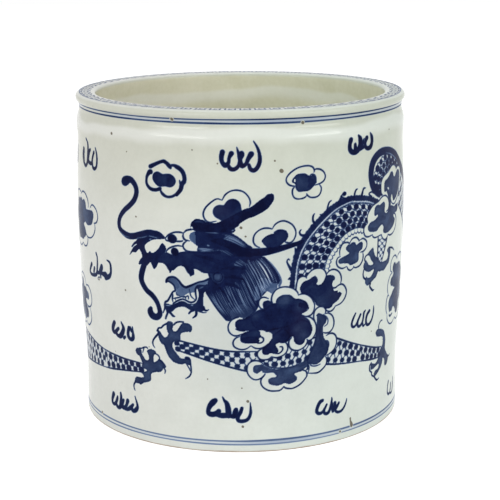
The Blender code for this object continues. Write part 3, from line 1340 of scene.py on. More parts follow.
@dataclass
class RimFret:
    """The key pattern brushed on the flat of the lip, with a thin line at its outer edge."""

    shape: PotShape
    material: bpy.types.Material
    inner: float = 91.3
    outer: float = 96.4
    edge_line: float = 97.5
    low: float = 90.2
    high: float = 98.2
    units: int = 72
    columns: int = 1720
    pitch: float = 0.36
    width: float = 0.85
    tone: float = 0.78
    link: tuple[Point, ...] = (
        (-0.34, 0.0), (0.0, 0.0), (0.0, 1.0), (0.66, 1.0), (0.66, 0.22), (0.26, 0.22))
    hook: tuple[Point, ...] = ((0.26, 0.22), (0.26, 0.66), (0.44, 0.66))

    def build(self) -> list[bpy.types.Object]:
        """Draw every unit of the fret and build it in two halves."""
        canvas = Canvas(Surface.LIP, self.shape, self.low, self.high, self.columns, self.pitch)
        halves = [Brush(canvas, number, softness=0.45, seed=7) for number in range(2)]
        length = TURN / self.units
        depth = self.outer - self.inner
        for unit in range(self.units):
            brush = halves[unit * 2 // self.units]
            for part in (self.link, self.hook):
                points = []
                for u, v in part:
                    jog = brush.random.uniform(-0.14, 0.14, 2)
                    points.append((unit * length + u * length + jog[0], self.inner + v * depth + jog[1]))
                for start, end in zip(points, points[1:]):
                    strength = self.tone * brush.random.uniform(0.8, 1.12)
                    brush.stroke([(*start, self.width), (*end, self.width * 0.9)], strength)
        for number, brush in enumerate(halves):
            first, last = number * TURN / 2, (number + 1) * TURN / 2
            places = np.linspace(first, last, 90)
            ring = [(s, self.edge_line, 0.6 + 0.15 * math.sin(s / 13)) for s in places]
            brush.stroke(ring, self.tone * 0.8)
        built = []
        for number, brush in enumerate(halves):
            film = Film(f"rim_fret_{number + 1}", canvas, number, brush.box, self.material)
            built.append(film.build())
        return built


# ---------------------------------------------------------------- the dragon


@dataclass(frozen=True)
class Whiskers:
    """The long feeler that rises from the snout and the one that hangs below it."""

    name: str = "dragon_whiskers"
    tone: float = 0.92

    def paint(self, b: Brush) -> None:
        """Paint both feelers, their bulbs and the light line along the upper one."""
        b.strokes(
            self.tone,
            [(-43.2, 125.2, 0.6), (-47, 126.8, 3.2), (-50, 127.2, 3.7), (-55, 127.1, 3.8),
             (-65, 124.1, 3.6), (-70, 124.1, 3.6), (-75, 126.6, 2.8), (-76.3, 130, 2.7), (-75.2, 134, 2.7),
             (-72, 138, 2.9), (-67.3, 141.8, 3.0), (-63.9, 145.5, 3.1), (-62.4, 150, 3.1),
             (-63.6, 153.8, 3.2), (-66.6, 156.3, 3.6), (-69.6, 156, 4.2), (-71.6, 154.7, 4.8)],
            [(-57.0, 110.5, 3.4), (-59.8, 103, 3.7), (-60, 98.5, 3.4), (-57, 93.8, 3.2), (-53, 91, 3.2),
             (-50, 87.5, 2.9), (-48.5, 83.5, 2.8), (-48.3, 80.3, 3.4), (-50.5, 78.4, 3.8), (-53.3, 79, 4.2),
             (-54.7, 81.2, 3.8), (-54.2, 83, 2.4)],
        )
        b.blobs([(-71.2, 155, 2.7), (-69.1, 156.1, 2.2)], self.tone)
        b.stroke([(-75.3, 125.5, 0.3), (-72, 123.4, 0.5), (-68, 123.1, 0.3)], -0.3)


@dataclass(frozen=True)
class Snout:
    """Nose, nostril, upper lip with its fangs, and the jaw muscles behind them."""

    name: str = "dragon_snout"

    def paint(self, b: Brush) -> None:
        """Paint the lip, then the nose and its nostril over it."""
        b.fill([
            (-48.6, 112.6), (-46.6, 115.6), (-44.4, 117.1), (-40, 115.8), (-37, 116.2), (-34, 117.9),
            (-30, 118.4), (-18, 118.8), (-12, 120), (-6, 117), (-4, 112), (-8, 107.6), (-12, 106.6),
            (-20.6, 106.9), (-23.6, 108.2), (-26.5, 109.4), (-26.3, 105.8), (-27.4, 105.3), (-28.7, 104.5),
            (-29.5, 106.4), (-31.2, 109), (-33.8, 110.2), (-36, 109.6), (-38.2, 107.6), (-39.8, 106.9),
            (-40.8, 105.3), (-41.6, 107.2), (-43.4, 109.7), (-45.6, 110.9), (-47.6, 110.8)], 0.86)
        b.fill([
            (-62.2, 122.8), (-58, 124.6), (-52, 125.4), (-44, 125), (-51, 123.8), (-55.6, 121.2),
            (-57.1, 119.2), (-55.9, 115.8), (-55, 115.5), (-53.6, 116.8), (-51.9, 115.8), (-48.4, 118.2),
            (-45.8, 122), (-44.2, 121.6), (-43.1, 119.8), (-43.4, 117.9), (-47.4, 114), (-48.8, 112),
            (-48.3, 110.6), (-51, 106.6), (-53.4, 110.4), (-56, 108), (-58.6, 108.6), (-61.6, 108.2),
            (-60.7, 110.8), (-58.8, 113.1), (-60.9, 117.1), (-63.4, 115), (-65.8, 114.8), (-68.1, 113),
            (-65.4, 117.4), (-62.6, 119.6), (-62.9, 121.2)], 0.92)
        b.strokes(
            0.92,
            [(-62.4, 121, 1.6), (-64.4, 119.9, 1.2), (-66.3, 117.9, 0.7)],
            [(-48, 111.6, 1.6), (-45.6, 111.6, 1.2), (-43, 110.2, 1.2), (-41, 107.6, 1.6),
             (-38.6, 108.6, 1.2), (-35.4, 110.6, 1.0), (-32, 110.4, 1.2), (-28.8, 107, 2.6),
             (-27, 109.6, 1.6), (-24, 109.2, 1.2), (-20, 107.6, 1.2), (-16, 107.4, 1.2)],
            [(-43, 116.9, 1.0), (-38, 115.6, 0.9), (-34, 117.7, 1.0), (-26, 118.5, 1.2), (-20, 118.4, 1.6),
             (-12, 119.0, 2.4)],
            [(-26, 117, 1.6), (-18, 115.4, 2.6), (-10, 112.6, 3.4)],
        )
        b.strokes(
            -0.34,
            [(-62, 123.4, 0.4), (-58, 124.3, 0.6), (-55.4, 125.3, 0.4)],
            [(-53.6, 125.7, 0.4), (-51, 125.3, 0.7), (-48.8, 124.9, 0.4)],
            [(-53.4, 123.6, 0.9), (-52.6, 124, 0.7)],
        )


@dataclass(frozen=True)
class Eyes:
    """Both eyes, the brows round them and the light patch behind."""

    name: str = "dragon_eyes"

    def paint(self, b: Brush) -> None:
        """Paint the outlines first and the pupils last."""
        b.fill([
            (-25.2, 130.3), (-27.6, 129.6), (-28.9, 127.6), (-28.3, 125.5), (-25, 123.1),
            (-24.4, 127)], 0.5)
        b.lines(
            0.9, 0.88,
            [(-43.4, 125.2), (-41.5, 127.3), (-38, 129.1), (-34.4, 129.5), (-32.3, 129.1)],
            [(-43.4, 125.2), (-42.6, 124.2), (-40, 123.9), (-33.6, 124.4), (-32.8, 124.8)],
            [(-43.1, 117.5), (-41.4, 119.5), (-38.6, 121), (-35.4, 121.7), (-32.4, 121.4)],
            [(-43.1, 117.5), (-42, 116.3), (-40.4, 115.9), (-39, 116)],
            [(-32.3, 129.2), (-32.5, 127), (-31.4, 125.4), (-28.7, 124.9)],
            [(-32.2, 129.2), (-30.6, 130.7), (-28.6, 131.3), (-26, 131.7)],
            [(-30.4, 124.7), (-32.2, 123.2), (-32.6, 121.4), (-31.4, 119.6), (-29.4, 118.9), (-23.4, 119)],
        )
        b.blobs([(-39.4, 125.5, 2.4), (-38.3, 125.2, 1.9), (-37.8, 118.2, 2.1), (-37.2, 117.4, 1.6)], 1.0)


@dataclass(frozen=True)
class Jaw:
    """Tongue, lower jaw with its teeth and the tufts of beard."""

    name: str = "dragon_jaw"

    def paint(self, b: Brush) -> None:
        """Paint the tongue's wash, the dark jaw, then outlines, teeth and beard."""
        b.fill([
            (-43.4, 100.2), (-42.8, 101.6), (-41, 102.9), (-38, 103.1), (-36, 101.9), (-33, 98.5),
            (-31.4, 98), (-29.6, 98.6), (-25, 100.9), (-21, 101.8), (-18.2, 103.2), (-17.2, 101.2),
            (-21, 100), (-24.6, 99.2), (-25.6, 97.4), (-25.8, 95.4), (-30, 94.6), (-33.6, 92.4),
            (-36, 92.6), (-37.2, 94), (-38.2, 98.4), (-39.8, 99.8), (-41.6, 100.2)], 0.4)
        b.fill([
            (-42.8, 101), (-40, 102.6), (-37, 101.6), (-35.4, 98), (-37, 96.4), (-38.6, 99),
            (-40.6, 100.4)], 0.5, 2.0)
        b.fill([
            (-44, 87), (-41, 86.9), (-39, 87.3), (-35, 89.4), (-32.6, 89.4), (-30.4, 88.5), (-28.4, 88.2),
            (-26.4, 88.8), (-24.9, 90.4), (-24.1, 92.6), (-24, 95), (-24.6, 99.4), (-20, 100.2),
            (-17, 100.6), (-16.6, 98), (-20, 96.2), (-21.2, 94.4), (-21.4, 87.6), (-20.8, 85.6),
            (-22.6, 84.3), (-25, 84.6), (-28.6, 84.5), (-32.4, 86.3), (-37, 85.6), (-40, 83), (-41.6, 82.7),
            (-43.4, 83.4), (-44.6, 84.8)], 0.86)
        b.strokes(
            0.92,
            [(-43.5, 99.8, 0.9), (-43, 101.4, 1.4), (-41.2, 102.9, 1.2), (-38.2, 103.1, 1.2),
             (-35.8, 101.5, 1.2), (-34, 99.2, 1.4), (-32, 98, 1.4), (-30, 98.4, 1.4), (-24, 101.3, 1.0),
             (-21, 102.1, 1.1), (-17.6, 103.6, 1.4)],
            [(-43.4, 100.2, 1.4), (-42, 100.5, 1.0), (-38.8, 98.6, 1.1), (-38, 95.4, 1.0),
             (-39.6, 94.4, 0.9), (-42.6, 89.3, 1.1), (-44.2, 88.2, 1.2), (-44.9, 86.6, 0.9),
             (-44.9, 84.4, 0.9), (-46, 81.5, 0.5)],
            [(-39.4, 87.6, 0.8), (-37, 89.4, 0.9), (-33.4, 90.8, 0.9), (-29.6, 89.4, 1.0),
             (-27.8, 89.4, 1.0), (-26.2, 90.4, 0.9), (-25.5, 92, 0.9), (-25.9, 96, 1.0), (-25.6, 97.8, 1.2),
             (-24.4, 99.2, 1.4)],
            [(-43.4, 84, 1.8), (-43.2, 81.8, 1.2), (-44, 79.8, 1.1), (-44.5, 78.3, 1.0)],
            [(-42.4, 83, 1.8), (-40.8, 81.4, 1.3), (-39.8, 80.4, 1.3), (-38.7, 80.1, 0.6)],
            [(-27.6, 85, 2.2), (-28.6, 84.2, 1.3), (-30, 82.7, 0.9)],
            [(-25.6, 85, 1.6), (-25.8, 82, 1.3), (-27.7, 80.2, 0.6)],
            [(-21.4, 87, 1.4), (-20.8, 85.4, 1.2), (-19.6, 85, 0.9), (-18.4, 85.6, 0.4)],
            [(-24.2, 84.4, 0.8), (-22, 83.8, 0.6), (-19.8, 83.8, 0.3)],
        )
        b.lines(
            0.75, 0.86,
            [(-39.8, 94.6), (-39.6, 92.4), (-39.9, 90.4), (-39.5, 88.4)],
            [(-39.5, 90.7), (-38, 91), (-36.4, 91.4), (-34.4, 92)],
            [(-38.3, 91), (-37.9, 89.8)],
            [(-35.4, 92.4), (-33, 92.2), (-31.8, 92.2), (-31.7, 91.2)],
            [(-31.6, 92.4), (-30.3, 92.9), (-30, 91.1)],
            [(-37.4, 94.6), (-37, 93.1), (-35.4, 92.6)],
            [(-29.4, 96.9), (-28.6, 93.1), (-26.2, 90.9)],
        )
        b.stroke([(-28.5, 87.6, 0.6), (-27.8, 87.6, 0.8)], -0.2)
        b.stroke([(-44, 86.2, 0.3), (-42.6, 86.2, 0.6), (-41, 86.3, 0.3)], -0.2)
        b.stroke([(-23.6, 97.6, 0.4), (-22.4, 98.3, 0.7), (-21.4, 98.8, 0.4)], -0.4)


@dataclass(frozen=True)
class Horn:
    """The long horn that sweeps up and back, with its root over the brow."""

    name: str = "dragon_horn"
    tone: float = 0.97

    def paint(self, b: Brush) -> None:
        """Paint the horn and the small ring under it."""
        b.fill([
            (-28.2, 131.4), (-27.7, 135), (-26.4, 136.6), (-24.6, 137.5), (-20.6, 137), (-18.6, 136),
            (-12.6, 135.9), (-1, 142), (3, 143.8), (5.6, 144.6), (10.6, 148.4), (13, 149.8), (14.4, 151.2),
            (17.2, 151.8), (18.4, 150.4), (18, 147.8), (14.4, 143.3), (7.8, 139.6), (4, 138.3),
            (-0.4, 135.6), (-1.4, 134), (-3.2, 132.9), (-3.2, 131.4), (-4.6, 130.3), (-8, 130.2),
            (-20, 130.5), (-25.4, 130.8), (-27.2, 131.6)], self.tone)
        b.fill([(-28, 132), (-27.4, 133.3), (-26.5, 132), (-27.2, 131.9)], 0.0, 0.3)
        b.stroke([(-4.8, 131.4, 0.5), (-4.2, 131.7, 0.8)], -0.3)
        b.stroke([(-25.6, 135.9, 0.6), (-23.4, 136.2, 1.0), (-21, 135.9, 0.5)], -0.74)


@dataclass(frozen=True)
class Crest:
    """Dark hair behind the brow and the strap of it that runs back to the body."""

    name: str = "dragon_crest"

    def paint(self, b: Brush) -> None:
        """Paint the mass of hair with its pale combed lines."""
        b.fill([
            (-25.1, 130.8), (-18, 131), (-8, 130.6), (-4, 129.4), (0, 126.8), (3.4, 123.8), (6.4, 121.4),
            (3, 117), (-6, 116), (-16, 118.2), (-22, 118.6), (-24.4, 119.6), (-24, 122), (-25.1, 123.2),
            (-25.1, 127)], 0.9)
        b.strokes(
            0.97,
            [(-4, 119.1, 5.4), (12, 119.1, 4.6), (30, 122.4, 2.6), (35, 124, 2.4)],
            [(-16, 125.6, 2.0), (-10, 125, 5.0), (-5, 123, 5.0), (1, 120.6, 4.0)],
        )
        b.streaks(
            [(-11, 129.9), (-4, 128.2), (1.4, 124.6), (5, 121.4)],
            [(-11, 126.8), (-5, 125), (0, 122.6), (2.4, 121.6)],
            6, 0.55, -0.3, (0.02, 1.0),
        )
        b.streaks(
            [(-25.4, 121.4), (-19, 121.2), (-14, 120.6)],
            [(-23, 118.9), (-18, 118.2), (-14.6, 119)],
            5, 0.5, -0.34,
        )
        b.streaks(
            [(-9.6, 121), (-6.6, 119.2), (-3.2, 117)],
            [(-16.6, 120.4), (-12.6, 118), (-9, 115.8)],
            7, 0.6, -0.4,
        )
        b.streaks(
            [(-20, 130.5), (-15, 130.4), (-11, 130)],
            [(-20, 129.9), (-15, 129.7), (-11, 129.4)],
            2, 0.4, -0.36,
        )
        b.lines(
            0.5, -0.34,
            [(-19, 118.9), (-16.4, 117.3), (-13.8, 118.9), (-12.4, 120.8)],
            [(-24, 120.9), (-20, 120.4), (-15, 120.9)],
        )
        b.stroke([(-18.4, 122.9, 0.9), (-17.6, 122.6, 0.6)], -0.3)


@dataclass(frozen=True)
class Mane:
    """The long combed mane that hangs from the cheek to below the jaw."""

    name: str = "dragon_mane"
    wash: float = 0.88

    def paint(self, b: Brush) -> None:
        """Lay the wash, comb dark and light lines through it, then draw the ear."""
        b.stroke(
            [(12.6, 116, 0.8), (16.4, 112, 1.6), (20, 106.6, 2.2), (22, 102, 2.0), (21.4, 99, 1.4)],
            0.44,
        )
        b.fill([
            (-13, 112), (-4, 116.6), (5, 117.4), (11.8, 116.6), (14.2, 115), (19.2, 108.2), (21, 104.8),
            (21.8, 102), (20.4, 99.6), (20.2, 96.6), (19.6, 94.2), (17, 95), (14.6, 96.4), (12.6, 94.4),
            (10.6, 92.4), (10, 88.4), (7, 83.6), (2, 81), (-4.8, 79.6), (-8.6, 79.8), (-12.4, 84.8),
            (-15.6, 89.6), (-19.8, 95.8), (-17, 101), (-16.4, 107)], self.wash)
        b.fill([
            (9, 103), (13, 104), (18, 101), (21, 100), (20.4, 94), (16.6, 94.6), (13.4, 96), (10, 92),
            (7.4, 92)], -0.46, 2.4)
        b.fill([(15.6, 97.6), (18.6, 98.4), (20.8, 97.4), (20.4, 94.6), (17, 95.4)], -0.42, 3.0)
        b.fill([
            (-2.6, 87.6), (0, 89.4), (4, 88), (6.4, 84.4), (1, 80.6), (-4.6, 80), (-6.4, 83.4),
            (-5.4, 86)], -0.66, 4.2)
        b.fill([
            (-17, 108), (-13, 113.6), (-4, 116.4), (3.4, 115), (3.4, 108), (1, 103), (-4, 100), (-8, 96.4),
            (-14, 96.6), (-18.6, 98.6)], 0.9, soft=3.0)
        left = [(-17, 96.4), (-14.8, 91), (-11.6, 85.6), (-7.4, 80.4)]
        middle = [(-1, 104), (1.6, 97.6), (4.4, 90.6), (7.8, 84.8)]
        inner = [(2.6, 116.6), (7.6, 108.6), (10.8, 101.6), (13.4, 95.2)]
        right = [(11.4, 116), (15.8, 111.2), (19, 105.8), (20.8, 100.8)]
        for first, last, dark, light, held in (
            (left, middle, 9, 15, -0.24), (middle, inner, 6, 9, -0.22), (inner, right, 5, 9, -0.08)
        ):
            b.streaks(first, last, light, 0.62, held, (0.0, 1.06))
            b.streaks(first, last, dark, 0.8, 0.96, wander=0.4)
        b.streaks(
            [(-19.2, 95.6), (-16.2, 90.6), (-12.8, 85.6), (-9.4, 80.8)],
            [(-17, 97), (-14.6, 91), (-11, 86), (-7, 80.8)],
            5, 0.4, -0.26, (0.0, 1.0),
        )
        b.streaks(
            [(-6, 112.6), (-3, 111.4), (0, 110)],
            [(-1, 115.6), (1.6, 113.6), (4, 111.6)],
            6, 0.5, -0.34,
        )
        b.streaks(
            [(10.2, 100.6), (11.6, 97.6), (13, 95)],
            [(12.6, 101.4), (13.6, 98), (14.4, 95.2)],
            3, 0.4, -0.12,
        )
        b.strokes(
            0.95,
            [(-19.6, 95.6, 0.8), (-15.6, 89.4, 1.0), (-12.2, 84.6, 1.1), (-8.4, 79.8, 0.8)],
            [(-10, 109.6, 1.6), (-3, 110.2, 2.6), (2.4, 109.6, 0.8)],
            [(-9, 104.6, 1.6), (-3, 104.8, 2.6), (1.6, 103.4, 0.8)],
            [(-9, 101, 1.6), (-4, 100, 2.4), (0, 97.6, 0.6)],
            [(-12, 98.6, 1.6), (-9, 95, 1.6), (-7, 90, 0.5)],
            [(11, 92.8, 0.8), (10.2, 96.6, 0.8), (8.4, 101, 0.4)],
        )
        b.fill([
            (-18, 107.2), (-14, 108.2), (-10.4, 107.4), (-9.6, 104.4), (-11.2, 101.8), (-14, 101),
            (-16.8, 102.8)], -0.72)
        b.blobs([(-13.2, 105, 1.7)], -0.56)
        b.strokes(0.96, [(-18.1, 107.4, 1.2), (-17.4, 105, 1.1), (-16.2, 102.8, 1.2), (-14.2, 101, 1.8)], [
            (-15.2, 103.2, 0.9), (-15.3, 105.8, 0.9), (-13.6, 107.6, 1.0), (-11.2, 107, 1.0),
            (-10.2, 104.8, 1.0), (-11.3, 102.7, 1.0), (-13.4, 102.1, 0.9), (-15.2, 103.2, 0.8)])


def beside(path: np.ndarray, distance: float) -> np.ndarray:
    """A path's points moved sideways, to its left as it runs; a negative distance is to its right."""
    along = np.gradient(path[:, :2], axis=0)
    left = np.column_stack([-along[:, 1], along[:, 0]]) / np.hypot(*along.T)[:, None]
    return path[:, :2] + left * distance


@dataclass(frozen=True)
class ArchedBody:
    """The dragon's body where it arches out of the clouds: dark spine, hooked fins and netted scales."""

    name: str = "dragon_arch"
    ridge: tuple[Point, ...] = (
        (30.6, 96), (32.2, 111), (36, 121), (43.5, 130.2), (55, 139.1), (65, 142.4), (70, 142.5),
        (80, 141.1), (85, 139.6), (89, 137.8))
    belly: tuple[Point, ...] = (
        (49.6, 99), (51.8, 109), (54, 113.5), (60.6, 120.6), (64.5, 123.2), (69, 124.7), (74, 124.8),
        (83, 121.6), (88, 118.8))
    spine_width: Point = (3.1, 3.7)
    belly_depth: float = 2.2

    def paint(self, b: Brush) -> None:
        """Paint scales, spine, fins and the scalloped belly."""
        ridge, belly = smooth_path(self.ridge, 0.8), smooth_path(self.belly, 0.8)
        inner = [tuple(point) for point in beside(belly, self.belly_depth)[::4]]
        upper = [tuple(point) for point in beside(ridge, -0.9)[::5]]
        b.net(upper, inner, 5.0, 4, dot=1.7, line=0.42, tone=0.92, square=True)
        b.line(inner, 0.5, 0.80)
        shares = np.linspace(0.0, 1.0, 44)
        for share in shares:
            slim, broad = self.spine_width
            width = slim + (broad - slim) * math.sin(math.pi * share)
            s, z = point_along(beside(ridge, 0.35 + width / 2), share)
            b.blobs([(s, z, width / 2 + b.random.uniform(-0.15, 0.3))], 0.84, vary=0.08)
        b.line(self.ridge, 0.7, 0.90)
        b.line([tuple(point) for point in beside(ridge, -0.8)[::6]], 0.55, 0.84)
        b.line([tuple(point) for point in beside(ridge, 0.1)[::6]], 0.75, -0.10)
        b.strokes(
            0.9,
            [(28.2, 108, 1.8), (25.8, 112.6, 0.8), (26.6, 114.3, 0.7), (27.3, 113.6, 0.4)],
            [(35.4, 127, 1.6), (33.6, 127.8, 1.1), (33.1, 129.4, 0.9), (33.9, 130.5, 0.6)],
            [(42.2, 133.6, 1.6), (41.2, 135, 1.2), (41.2, 137.4, 1.1), (42.0, 138.9, 0.6)],
            [(50.6, 139.6, 1.6), (50.6, 141.8, 1.1), (51.6, 144.4, 0.9), (53.0, 145.3, 0.5)],
            [(58.2, 143, 2.4), (59.4, 145.6, 1.6), (60.6, 148, 0.6)],
            [(59.6, 147, 0.8), (62, 145.6, 1.0), (66, 145, 1.2)],
            [(69.6, 145, 1.4), (70.0, 147.4, 1.3), (71.0, 149.2, 1.1), (72.2, 149.6, 0.5)],
            [(75.6, 145, 2.0), (76.4, 147.4, 1.4), (77.4, 149.2, 1.2), (79.0, 149.3, 0.5)],
            [(47, 137.2, 1.6), (45.6, 138.2, 0.5)],
            [(56.4, 141.8, 1.6), (55.6, 143.4, 0.5)],
            [(31, 118.6, 1.8), (30.4, 120.4, 0.5)], [(27.6, 103, 1.6), (26.6, 102.6, 0.5)],
            [(84.6, 143.4, 1.0), (82, 145.4, 0.9), (84.4, 146.2, 0.8), (86.6, 145.2, 0.7)],
        )
        b.blobs([(61.8, 148.1, 1.0), (62.7, 148.2, 0.7)], 0.92)
        places = [point_along(belly, share) for share in np.linspace(0.0, 0.92, 21)]
        for start, end in zip(places, places[1:]):
            along = end - start
            out = np.array([along[1], -along[0]]) / math.hypot(*along)
            bulge = (start + end) / 2 + out * 0.9
            b.line([tuple(start), tuple(bulge), tuple(end)], 0.6, 0.80)
            b.line([tuple(end), tuple(end - out * self.belly_depth)], 0.5, 0.74)


@dataclass(frozen=True)
class CoiledBody:
    """The next loop of the body, which curls over the right-hand clouds and on round the pot."""

    name: str = "dragon_coil"

    def paint(self, b: Brush) -> None:
        """Paint the loop's scales and its dark spine."""
        b.net(
            [(93.6, 144), (88.6, 147.6), (87, 152), (87.6, 157), (90.6, 161.4), (96, 165), (103, 166),
             (110, 163.8), (117, 160), (124, 155.4)],
            [(98, 143), (96.6, 147), (96.4, 150), (98, 152.6), (100.6, 154.4), (104, 155.4), (108, 155.6),
             (112, 154.4), (117, 151.4), (122, 147.6)],
            5.0, 3, dot=1.8, line=0.46, tone=0.88, square=True,
        )
        b.stroke([
            (92.4, 143.2, 3.0), (90, 145.2, 4.4), (86.6, 148.6, 5.0), (84.6, 153, 4.8), (84.4, 158, 5.0),
            (86.4, 163, 5.2), (90.6, 166.4, 4.8), (96, 167.9, 4.6), (104, 167.4, 4.6), (112, 165, 4.6),
            (118, 161.8, 4.4), (131, 152.4, 3.8), (140, 144.4, 3.8)], 0.86)
        b.stroke([(101, 166.6, 0.3), (107, 165.2, 0.6), (113, 162.6, 0.6), (119, 159.2, 0.3)], -0.2)


@dataclass(frozen=True)
class Leg:
    """One netted leg with its dark claw."""

    name: str
    bands: tuple[tuple[tuple[Point, ...], tuple[Point, ...], float, int], ...]
    claw: tuple[Point, ...]
    talons: tuple[tuple[Dab, ...], ...]
    tone: float = 0.63
    dot: float = 1.6
    line: float = 0.5
    net_tone: float = 0.82

    def paint(self, b: Brush) -> None:
        """Paint scales, edges, claw and talons."""
        for top, bottom, pitch, rows in self.bands:
            b.net(top, bottom, pitch, rows, self.dot, self.line, self.net_tone)
        for top, bottom, _, _ in self.bands:
            b.lines(0.95, 0.90, top, bottom)
        b.fill(self.claw, self.tone, pooling=0.13)
        b.strokes(0.92, *[[(s, z, width * 0.8) for s, z, width in talon] for talon in self.talons])


